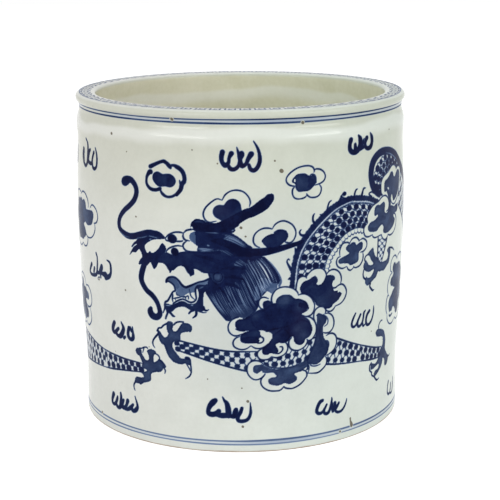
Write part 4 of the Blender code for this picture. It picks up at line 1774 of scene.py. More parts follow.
def dragon_legs() -> list[Leg]:
    """The four legs that show from the front and the sides."""
    return [
        Leg(
            "leg_front_left",
            (
                (
                    ((-39, 64.2), (-36.4, 65.7), (-30, 64.9), (-10, 61.5), (8, 61)),
                    ((-39, 60.2), (-30, 58.2), (-20, 55.3), (0, 49.9), (8, 48.5)),
                    6.3, 3,
                ),
                (
                    ((8, 61), (14, 61.1), (26, 63), (40, 66), (50, 67)),
                    ((8, 48.5), (20, 47), (34, 47), (46, 49)),
                    5.2, 4,
                ),
            ),
            ((-35.2, 70.2), (-31, 71.8), (-29.2, 71.8), (-28.3, 73.6), (-28.8, 75.6), (-30.5, 76.6),
             (-33, 76.8), (-34.6, 76.1), (-37.6, 71.8), (-39.4, 71.1), (-40.4, 72.4), (-39.8, 74.6),
             (-40.3, 76.3), (-42, 77), (-43.7, 76), (-44.1, 73.2), (-43.6, 70.6), (-43.0, 69.4),
             (-44.0, 67.6), (-45.6, 66.8), (-47.2, 68.0), (-48.6, 70.1), (-50.3, 70.4), (-49.4, 65.6),
             (-47.8, 62.8), (-46.2, 62), (-44.4, 56.8), (-42.2, 53.8), (-39.8, 52.2), (-35.6, 51.6),
             (-33.4, 52.3), (-29.8, 51.4), (-29.6, 54.2), (-30.4, 56), (-32.2, 56.4), (-33.4, 55.3),
             (-36, 55.3), (-37.6, 57), (-40.2, 60.2), (-40.8, 62.6), (-40, 64.8), (-37.4, 65.6),
             (-35.6, 66.2)),
            (
                ((-39.3, 75.2, 1.1), (-38, 76.5, 1.1), (-36, 77.2, 1.1), (-33.5, 77.3, 1.0)),
                ((-32.4, 55.6, 2.6), (-31.2, 55.5, 2.6)),
                ((-50.3, 70.2, 1.4), (-49.4, 71.9, 1.2), (-47.6, 72.4, 1.1), (-46.2, 73.9, 1.2),
                 (-43.4, 75.6, 1.2)),
                ((-49.7, 68.6, 1.6), (-53, 64.8, 1.2), (-53.9, 62.6, 1.1), (-53.6, 60.8, 0.8),
                 (-52.6, 59.5, 0.4)),
                ((-32.4, 52, 0.7), (-31.2, 50, 0.7), (-30.2, 48, 0.6)),
                ((-30, 52.6, 1.0), (-29.7, 48, 0.9), (-30.4, 45.6, 1.0), (-31.6, 44.2, 0.9),
                 (-33.4, 43.1, 0.4)),
            ),
        ),
        Leg(
            "leg_hind_left",
            (
                (
                    ((-192, 68), (-176, 63.5), (-162, 60.4), (-150, 58), (-140, 55), (-130, 53.2),
                     (-119, 51.9), (-110, 50.5), (-98, 49.2)),
                    ((-198, 44), (-186, 34.5), (-172, 30.8), (-156, 31), (-145, 33.2), (-133, 34.8),
                     (-98, 38)),
                    5.8, 3,
                ),
                (
                    ((-98, 49.2), (-80, 48.3), (-62, 48.2)),
                    ((-98, 38), (-90, 39.1), (-78, 41), (-62, 43)),
                    5.2, 2,
                ),
            ),
            ((-62.6, 48.4), (-64.4, 52.3), (-66.2, 53.2), (-67.2, 54.8), (-67.1, 56), (-66, 57.2),
             (-64.2, 57.3), (-62.8, 56.2), (-62.4, 54), (-60, 50.9), (-58.4, 50.9), (-57.4, 52),
             (-57.6, 54.4), (-58.5, 56.4), (-57.6, 57.5), (-55.6, 58.2), (-53.4, 57.9), (-52.2, 56.9),
             (-52.6, 55.6), (-53.8, 54.8), (-54.1, 50.6), (-52, 51.4), (-50.2, 52.6), (-46.9, 49.8),
             (-49.2, 45.6), (-53, 44.6), (-55.6, 43.6), (-56.6, 42), (-56.8, 39.2), (-58.4, 37.8),
             (-62.4, 36.3), (-64.5, 34.9), (-66, 35.2), (-68, 35), (-69.4, 35.8), (-68.2, 38.8),
             (-63.4, 39.4), (-62, 40.2), (-62.6, 41.4), (-63.8, 42.6), (-61.6, 43.2), (-59.6, 44.2),
             (-60, 45), (-62.6, 45.6), (-63.2, 47)),
            (
                ((-64.2, 57.3, 0.9), (-62.4, 57.6, 0.9), (-60.4, 58.6, 0.9), (-58.6, 58.9, 0.9),
                 (-58, 58.3, 0.8)),
                ((-60.6, 58, 0.7), (-61.2, 56.6, 0.7), (-61.8, 55.2, 0.5)),
                ((-53.2, 56, 0.9), (-51.4, 55.6, 0.9), (-50.1, 54.4, 0.9), (-49.8, 53, 0.7)),
                ((-50.4, 52.6, 1.0), (-48.6, 51.8, 1.2), (-46.2, 49, 1.0), (-47.2, 48.4, 1.0)),
                ((-47.2, 48, 1.0), (-46.4, 46.4, 1.0), (-46.8, 44.6, 0.5)),
                ((-69.2, 35.4, 1.4), (-70.3, 33.6, 1.1), (-70.2, 31.4, 0.9), (-69.5, 30.2, 0.5)),
            ),
            dot=1.75,
        ),
        Leg(
            "leg_front_right",
            (
                (
                    ((51, 66.4), (59, 63.6), (68, 59.6), (78, 55.8)),
                    ((46, 50), (52, 49), (60, 47.6), (78, 45.6)),
                    5.4, 3,
                ),
                (((78, 55.8), (92, 51), (102, 48.8)), ((78, 45.6), (90, 43.9), (100, 42.8)), 5.2, 2),
            ),
            ((103.8, 50), (103.5, 53), (102, 55.4), (95.6, 56.8), (93.8, 58.6), (93.4, 60.2), (95, 61.4),
             (99.6, 60.6), (104.2, 58), (107.4, 52.4), (107.6, 49), (108.2, 45.6), (113, 40.6),
             (114.2, 39.2), (113.8, 37), (112, 35.1), (110, 34.8), (108.4, 36), (108.2, 38.4), (107, 40.2),
             (105, 41), (104.8, 38.8), (102.6, 35.6), (97.2, 32.3), (95.2, 32), (94.2, 33.8), (95.6, 35.3),
             (98.2, 35.6), (99.6, 36.6), (100, 38.4), (98.2, 38.6), (92.6, 37.1), (90.2, 37.8),
             (90.4, 41.2), (92, 40.8), (95, 39.9), (97.6, 41.2), (98.6, 43), (99.4, 46), (102.6, 48.8)),
            (
                ((96.6, 61.4, 0.8), (96.2, 63.4, 0.9), (97.4, 65.2, 0.9), (99.2, 66.1, 0.8),
                 (100.6, 65.8, 0.4)),
                ((112.6, 40.4, 1.8), (115, 39.4, 1.1), (117.6, 40.2, 0.4)),
                ((90.6, 41.6, 1.0), (89, 40, 1.2), (89.2, 37.2, 1.2), (91.8, 35.2, 0.9)),
                ((91.2, 35.6, 1.0), (92, 33.4, 1.1), (94.6, 31.9, 1.2), (96.4, 30, 1.3), (98.4, 28.8, 1.2),
                 (101, 29.3, 0.4)),
            ),
            tone=0.56, dot=1.6,
        ),
        Leg(
            "leg_raised_right",
            (
                (
                    ((91.2, 121), (91.4, 116), (91.4, 110), (90.8, 103)),
                    ((103, 119), (101.6, 114.4), (99.2, 109), (96, 102)),
                    3.4, 3,
                ),
            ),
            ((86.6, 112.9), (84.6, 112.4), (81, 109.8), (83.2, 108.8), (84.4, 106.8), (87.2, 103.4),
             (84.8, 102.9), (82.6, 103.6), (80.2, 106.5), (78.4, 105), (78, 103), (79, 101.2), (81, 99.8),
             (83.8, 99.2), (88.2, 99.8), (86, 96.6), (84.2, 95.6), (82, 95.8), (80.8, 96.7), (80, 95),
             (80, 93), (81.4, 91.5), (83, 91), (84.6, 92), (86.6, 92.8), (88.6, 94), (90.4, 94.6),
             (92.9, 97.8), (94.4, 97), (96.4, 97.3), (99.8, 97), (104, 99.4), (106.2, 100.8),
             (107.8, 106.6), (107, 108.4), (104.6, 109.6), (102.8, 108.2), (104.2, 106.4), (104.2, 104.4),
             (103, 102.9), (100, 102.2), (95, 103), (92.6, 105), (89, 107.6), (87.4, 110.4)),
            (
                ((81.4, 109.8, 0.9), (79.8, 109.2, 1.0), (78.8, 107.6, 1.0), (79.4, 106.2, 1.3)),
                ((78.6, 101.8, 0.9), (77.9, 99, 1.1), (78.4, 96.8, 1.2), (80.2, 95.2, 1.4)),
                ((85, 91.8, 1.6), (84.6, 90, 1.4), (87.4, 87.2, 1.3), (89, 87.4, 0.4)),
                ((105.2, 109.4, 1.1), (108.6, 108.8, 1.1), (111.4, 107.8, 1.0), (113.9, 106, 0.4)),
            ),
            tone=0.54, dot=0.62, line=0.34, net_tone=0.68,
        ),
    ]


# ---------------------------------------------------------------- clouds and scrolls


@dataclass(frozen=True)
class Cloud:
    """A cloud: thin curling outline round a dark lobed heart, hiding what is behind it."""

    name: str
    arcs: tuple[tuple[Point, ...], ...]
    heart: tuple[Dab, ...] = ()
    masses: tuple[tuple[Point, ...], ...] = ()
    tone: float = 0.80
    width: float = 1.0
    line_tone: float = 0.86
    lifts: tuple[tuple[Point, ...], ...] = ()
    curls: tuple[tuple[Dab, ...], ...] = ()
    fades: tuple[Dab, ...] = ()
    fade_to: float = -0.64
    cover: bool = True

    def paint(self, b: Brush) -> None:
        """Clear the ground, lay the heart, then draw the outline and its curls."""
        if self.cover:
            b.fill([point for part in self.arcs for point in part], 0.0, smooth=False)
        if self.heart:
            b.blobs(self.heart, self.tone, vary=0.10, pooling=0.08)
        for outline in self.masses:
            b.fill(outline, self.tone, pooling=0.12)
        for outline in self.lifts:
            b.fill(outline, 0.0)
        if self.fades:
            b.blobs(self.fades, self.fade_to, soft=4.0, melt=1.5)
        b.lines(self.width * 0.80, self.line_tone, *self.arcs)
        b.strokes(min(self.tone + 0.08, 0.95), *self.curls)

    def moved(
        self, name: str, to: Point, turn: float = 0.0, size: float = 1.0, flip: bool = False
    ) -> "Cloud":
        """The same cloud drawn elsewhere.

        Args:
            name: the new motif's name.
            to: where its middle goes.
            turn: degrees it is turned.
            size: how many times as large.
            flip: whether it is drawn the other way round.

        Returns:
            The new cloud.
        """
        points = np.array([p for part in self.arcs for p in part])
        middle = (points.min(0) + points.max(0)) / 2
        cos, sin = size * math.cos(math.radians(turn)), size * math.sin(math.radians(turn))

        def put(row: Sequence[float]) -> tuple[float, ...]:
            """One point moved, with any width or radius after it scaled."""
            ds, dz = (row[0] - middle[0]) * (-1 if flip else 1), row[1] - middle[1]
            place = (to[0] + cos * ds - sin * dz, to[1] + sin * ds + cos * dz)
            return (*place, *(value * size for value in row[2:]))

        def each(parts: Iterable) -> tuple:
            """Every point of every part moved."""
            return tuple(tuple(put(p) for p in part) for part in parts)

        return Cloud(
            name, each(self.arcs), each((self.heart,))[0], each(self.masses), self.tone, self.width,
            self.line_tone, each(self.lifts), each(self.curls), each((self.fades,))[0], self.fade_to,
            self.cover,
        )


def front_clouds() -> list[Cloud]:
    """The clouds that show from the front, farthest first."""
    return [
        Cloud(
            "cloud_high_left",
            (
                ((-39.8, 165.2), (-43, 168.6), (-46, 168.4), (-52.6, 165.2)),
                ((-53.4, 162.4), (-55, 160), (-55.4, 156.5), (-53.6, 153.2), (-50.6, 152.3), (-46.6, 153)),
                ((-46.6, 153), (-44.8, 150.4), (-42, 149), (-38.4, 149.6), (-34.8, 152.4), (-33.6, 155),
                 (-34.4, 158.6)),
                ((-33.4, 157.6), (-31.5, 159.6), (-32, 163), (-34.6, 165.8), (-38, 166.8), (-40.4, 166.6)),
            ),
            ((-48.2, 159.4, 3.2), (-46.4, 157.6, 3.2), (-43.4, 158.2, 3.2), (-41, 158.8, 3.0),
             (-39.4, 158, 2.6), (-40.4, 156.6, 2.0)),
            tone=0.88, width=1.9, line_tone=0.86,
            curls=(
                ((-52.8, 165.2, 2.4), (-46, 168.3, 1.8), (-43, 168.2, 2.0), (-40.6, 166.2, 2.4),
                 (-39.8, 165.2, 1.2)),
                ((-52.6, 162.2, 2.8), (-53.6, 161.8, 2.6), (-55.2, 159, 1.6), (-55.2, 155.4, 1.6),
                 (-52.8, 152.8, 1.9), (-49.4, 152.3, 1.9), (-46.4, 153.2, 2.0)),
                ((-36.2, 150.6, 2.0), (-33.8, 153.6, 2.4), (-33.0, 156.6, 2.6), (-31.6, 158.4, 2.4),
                 (-31.8, 161.6, 2.4), (-33.4, 164.4, 2.4), (-36.6, 166.2, 2.0)),
            ),
        ),
        Cloud(
            "cloud_high_right",
            (
                ((42, 162.2), (42.3, 163.2), (41.5, 165), (39.5, 166), (36.5, 166.2), (33, 165.6),
                 (30, 164.3), (27.3, 162.3), (25.6, 160), (25.6, 158), (27, 156.3), (29, 155.5),
                 (31, 155.3)),
                ((30.3, 154.8), (29.2, 153.8), (28.9, 151.8), (29.5, 149.6), (31, 148.3), (33.5, 148),
                 (36, 148.5), (37.6, 149.7)),
                ((37.5, 150.7), (37.6, 150), (39.5, 148.5), (42.5, 148.2), (44.8, 149), (46.2, 151),
                 (46.4, 153.5), (45.2, 155.2)),
                ((42.5, 155), (46.5, 156), (48.6, 157.6), (49.2, 159.8), (48.2, 162), (46, 163.6),
                 (43.5, 164), (42, 163.4)),
            ),
            masses=(
                ((29, 157.4), (29, 159), (31.6, 161.6), (36, 162.1), (39.6, 160.2), (41, 160.8),
                 (42.4, 160.2), (43, 156.4), (40, 153), (38, 152.1), (35.8, 152.2), (33.6, 151.8),
                 (31.6, 152.8), (30.8, 154.8), (30.6, 156.6)),
            ),
            tone=0.76,
            curls=(
                ((39.4, 160.4, 0.6), (40.6, 161.3, 0.7), (42.2, 160.8, 0.8), (43, 159.2, 1.0),
                 (43, 156.6, 1.2)),
                ((39.6, 158, 3.4), (40.6, 156.4, 4.0), (39.4, 154.6, 3.0)),
            ),
            lifts=(((29.8, 158), (30.3, 159.2), (30.9, 158.6), (30.6, 157.6)),),
        ),
        Cloud(
            "cloud_behind_horn",
            (
                ((-13.5, 136.7), (-17.5, 136), (-19.8, 137.5), (-20.8, 140.5), (-19.5, 144), (-16, 147.5),
                 (-13, 149.2), (-10.2, 148.5)),
                ((-10.2, 148.5), (-8.5, 151.5), (-5.5, 153.6), (-2, 154.1), (1.5, 153.2), (4.2, 150.5),
                 (5.3, 147.5), (4.8, 145)),
            ),
            ((-11.6, 142, 3.8), (-4.4, 144.8, 4.5), (-8, 140.6, 4.4), (-2.6, 141.6, 3.2)),
            tone=0.86, cover=False,
        ),
        Cloud(
            "cloud_on_strap",
            (
                ((10.3, 121.7), (8, 123), (6.8, 125.5), (7.5, 129), (10, 131.5), (13, 132.6), (16, 132.4),
                 (17.3, 131.9)),
                ((17.3, 131.9), (19, 134.5), (22, 136.1), (25, 136), (28.5, 134), (30.5, 131), (30.8, 128),
                 (29.5, 125), (27.4, 123.6), (25.2, 124), (24.2, 124.8)),
            ),
            masses=(
                ((11.6, 125.6), (14.6, 128.4), (19, 129.6), (20.6, 131), (22.6, 131.3), (25, 130.6),
                 (26.2, 128.6), (26.1, 126.6), (24.8, 124.8), (19.4, 120.6), (15.4, 121), (13.6, 122.4)),
            ),
            tone=0.84, cover=False,
            lifts=(((22, 122.4), (23.6, 123.4), (26, 122.9), (24, 122.2)),),
            curls=(((18.6, 130, 0.8), (21, 131.1, 0.9), (24, 130.6, 1.0), (25.6, 128.8, 1.2)),),
        ),
        Cloud(
            "cloud_under_arch",
            (
                ((59, 113), (59, 116), (61, 119.5), (64.5, 119.8), (66, 119), (66.6, 119.8)),
                ((66.2, 119.2), (68, 121.3), (71, 121.8), (73.3, 120), (73.6, 119)),
                ((74, 119.6), (77, 120.2), (80, 118), (80.2, 115), (78, 112.8), (75, 112.4)),
                ((77, 112), (77.4, 109.6), (76.8, 107), (74.5, 104.5), (71, 103.9), (69.5, 105)),
                ((70, 104.4), (67.5, 103), (65.5, 103.8), (64.5, 105.5)),
                ((64, 105.6), (61, 105), (58, 106.5), (56.8, 109), (57.5, 111.5), (59.5, 112.3)),
            ),
            masses=(
                ((58, 109.6), (59.4, 111), (64.6, 112.6), (66, 113.4), (63.8, 115.4), (63.6, 117),
                 (64.8, 118.2), (66.6, 118.2), (67.4, 119), (69, 119.4), (70.6, 118.6), (71.4, 117.2),
                 (74.6, 118.4), (76.4, 118), (76.8, 116), (76, 114), (74, 113), (73.4, 111.4), (73.6, 109),
                 (72.4, 107), (67, 106), (65.6, 107.2), (62.6, 107.8), (59.4, 108)),
            ),
            tone=0.6, line_tone=0.8,
            curls=(
                ((64.4, 116.4, 1.2), (66.2, 117.6, 1.2), (69, 118.6, 1.4), (70.6, 117.4, 1.2)),
                ((72.2, 117, 1.0), (74.8, 117.6, 1.4), (76, 116.2, 1.2)),
            ),
        ),
        Cloud(
            "cloud_over_coil",
            (
                ((96.6, 142.2), (94.6, 144.2), (94.6, 149.6), (96, 152), (98.6, 153.6), (104, 155.2)),
                ((104, 155.2), (106, 156.6), (109, 157.9), (112, 158), (114.6, 156.8), (116, 155)),
                ((116, 154.8), (119.6, 156.2), (123.6, 154.8), (125.4, 150.6), (124, 146.6), (121.6, 143)),
                ((121.6, 143), (120, 139.8), (116.6, 137), (112.6, 134.8), (109, 135.4), (106.9, 137.6),
                 (106.4, 139.8), (107.2, 141.6)),
            ),
            masses=(
                ((98.5, 149), (99.6, 150.6), (103.6, 151.4), (104.8, 152.2), (105.7, 153.6), (107.4, 154.5),
                 (109.4, 154.4), (110.8, 153), (111.6, 151.2), (113.6, 151), (115.2, 152.4), (117.6, 153.8),
                 (120.4, 153.9), (122.4, 152.4), (123, 149.6), (121, 143.6), (119.4, 141.2), (117, 139.2),
                 (114.4, 137.8), (112, 136.8), (110.2, 137.4), (108.6, 141), (107, 139.4), (106.6, 136),
                 (106.4, 131.6), (103.4, 131.4), (104, 135), (104.4, 139), (103.8, 142.4), (102, 145),
                 (100.4, 144.2), (98.8, 143.9), (98, 145.2)),
            ),
            tone=0.6, line_tone=0.66,
            curls=(
                ((101.8, 144.6, 2.0), (104, 141.6, 2.8), (105.2, 137, 3.0), (105, 132.6, 3.2)),
                ((98.8, 148.8, 1.4), (105, 151.6, 2.0), (107.8, 153.2, 2.0), (110, 151.6, 1.6)),
            ),
            lifts=(((101.4, 145.2), (103, 146), (104.2, 145.2), (102.6, 143.8)),),
        ),
        Cloud(
            "cloud_right_middle",
            (
                ((81, 128.6), (80.3, 131.2), (81.2, 134), (85.6, 138), (91.4, 139.6), (94, 141),
                 (97, 141.9), (100, 141.6), (102.4, 140), (103.9, 137.4), (103.8, 134.6), (102.4, 132.6),
                 (100.4, 132.2)),
                ((110.4, 129), (113.4, 128.4), (115.4, 126), (115.6, 123), (114.6, 120.4), (112.4, 118.2),
                 (109, 117), (105.6, 117), (103, 118)),
                ((103.4, 117.6), (100.6, 115.6), (98, 115.8), (96, 117.4), (95, 119.4)),
                ((95, 119.4), (88.8, 118.7), (86.4, 119.4), (85.2, 120.6)),
                ((85.6, 121), (82, 120.4), (79.4, 120.9), (77.8, 122.6), (77.4, 125.2), (78.6, 127.4),
                 (80.6, 128.4)),
            ),
            masses=(
                ((87, 133), (87.8, 136.4), (89.6, 137.6), (91.6, 137.6), (93, 137.2), (96.6, 138.3),
                 (98.2, 137.9), (98.9, 136.4), (98.4, 132.6), (100.4, 131.2), (102.6, 131.8), (105, 134),
                 (108, 134.4), (112, 133.2), (116, 134), (118.6, 132), (117, 129.6), (113, 129),
                 (111, 128.6), (111.2, 127), (112.8, 125.8), (113.2, 124.4), (110, 121.4), (103, 119.2),
                 (98, 119.8), (97, 121.4), (97.2, 123.6), (95.2, 125.3), (92, 124), (90.6, 122.9),
                 (88.4, 122.3), (83.4, 123), (81.6, 124.2), (81, 125.8), (82, 127.6), (84, 128.6),
                 (86.6, 129), (89.4, 130), (91, 131.4), (90, 132), (88.2, 131.6)),
            ),
            tone=0.57, line_tone=0.78,
            curls=(
                ((88, 134.6, 1.6), (89.6, 136.6, 1.8), (93, 136.2, 2.0), (97, 137.2, 1.8),
                 (97.6, 134.6, 1.6)),
                ((82.4, 125.2, 2.0), (84.4, 124.4, 2.6), (88, 123.8, 2.2), (90.6, 124.4, 1.6)),
                ((90, 129.6, 1.6), (94, 129.4, 3.4), (99, 128.6, 2.6)),
            ),
            lifts=(((91.8, 123.4), (94, 124.6), (95, 124), (93, 122.8)),),
        ),
        Cloud(
            "cloud_right_edge",
            (
                ((112.4, 92.6), (109.4, 94.6), (109.6, 99), (112, 101.6), (116, 102.4), (119.6, 100.8),
                 (121, 99)),
                ((121, 99.4), (125, 101.4), (131, 101.2), (135.4, 98), (138, 92)),
                ((138, 92), (141.4, 87), (141, 80), (137, 74)),
                ((137, 74), (137.4, 67.4), (133, 61.6), (126, 60.4), (121.4, 62.6)),
                ((121.4, 62.2), (116.6, 60.2), (111.6, 61), (107.6, 64.4), (106.6, 68)),
                ((106.8, 68), (105, 71), (104.8, 76), (106.6, 79.6), (108.4, 79)),
                ((107.4, 79.6), (105.8, 83.4), (106.4, 88), (109.4, 91.6), (112.4, 92.2)),
            ),
            ((112.6, 87, 2.6), (117.4, 87.4, 4.6), (121.4, 91.6, 4.8), (126.4, 91, 5.4), (131, 87, 5.4),
             (124.6, 83, 6.0), (116, 95, 3.0), (112.6, 74, 4.4), (117.4, 76, 5.4), (123.4, 74, 6.0),
             (130, 77, 5.4), (125.4, 68.6, 4.2), (112.4, 70.4, 2.8)),
            tone=0.58, line_tone=0.62,
            lifts=(
                ((110, 67.4), (111.6, 68.6), (115, 68.4), (117.6, 70), (119.4, 67), (115.4, 64),
                 (111.2, 64.6)),
            ),
            curls=(((110.2, 66.6, 1.1), (112.4, 65.6, 1.4), (115.4, 66.4, 1.1)),),
        ),
        Cloud(
            "cloud_left_high",
            (
                ((-107.6, 134), (-105, 136.2), (-101.4, 135.6), (-98.4, 133), (-97.6, 129.4),
                 (-99.4, 126.6), (-102.6, 125.6)),
                ((-101.6, 125.8), (-101.2, 122.4), (-103.4, 118.6), (-107.4, 116), (-112, 115.4),
                 (-115, 116.4), (-116, 117.6)),
                ((-112.8, 115.6), (-113, 112.6), (-115.6, 109.6), (-119.6, 108.8), (-123, 110)),
                ((-123, 110), (-128, 107.4), (-134.6, 108.2), (-139, 112.6), (-140, 118.4)),
                ((-140, 118.4), (-144, 123), (-144, 129.6), (-140, 134)),
                ((-140, 134), (-137.6, 138.6), (-131.6, 141.2), (-125, 140.6)),
                ((-125, 139.6), (-121, 141.6), (-116, 141.4), (-112, 138.8), (-110.4, 136),
                 (-110.6, 133.6)),
            ),
            ((-105.4, 130.2, 2.4), (-108.4, 128, 4.4), (-112, 127.4, 4.6), (-118, 128.4, 5.0),
             (-124, 127, 6.0), (-131, 126, 6.0), (-118.4, 133.6, 3.6), (-125, 133.4, 4.0), (-131, 133, 3.4),
             (-124, 118, 6.0), (-130, 116.6, 5.0), (-118.6, 117.6, 3.0)),
            tone=0.6, line_tone=0.74,
            lifts=(
                ((-116.4, 124), (-113, 122.4), (-109, 121.6), (-105, 122.6), (-103.6, 120.4),
                 (-107.6, 117.4), (-112.6, 116.8), (-116.2, 119)),
            ),
        ),
        Cloud(
            "cloud_left_low",
            (
                ((-116, 71.4), (-119.6, 70.6), (-122, 71.8)),
                ((-119.6, 71.2), (-115.6, 71.6), (-112.4, 74.2), (-111.6, 78.4), (-113.6, 82.4),
                 (-117.6, 84.4), (-122, 83.6)),
                ((-121.4, 83.8), (-124.4, 88), (-130, 89.8), (-136, 88), (-139.4, 83.6)),
                ((-139.4, 83.6), (-144.6, 80), (-145.6, 73), (-142, 67.6)),
                ((-142, 67.6), (-142, 61.6), (-137, 57.6), (-130.6, 58), (-127, 60)),
                ((-127, 60), (-123, 58.4), (-118.4, 60), (-114.6, 63.4), (-114.2, 67.4), (-115.6, 70.6)),
            ),
            ((-119.4, 77.6, 2.6), (-124, 78.6, 3.6), (-130, 78, 5.0), (-136, 76, 5.0), (-128, 70, 5.6),
             (-123, 66.6, 3.6), (-134, 68, 5.0), (-128.4, 64.4, 3.6), (-131, 84, 3.0)),
            tone=0.58, line_tone=0.66,
            lifts=(((-122, 75.6), (-119, 73.8), (-116.2, 74.4), (-115.4, 76.4), (-118.2, 75)),),
        ),
    ]


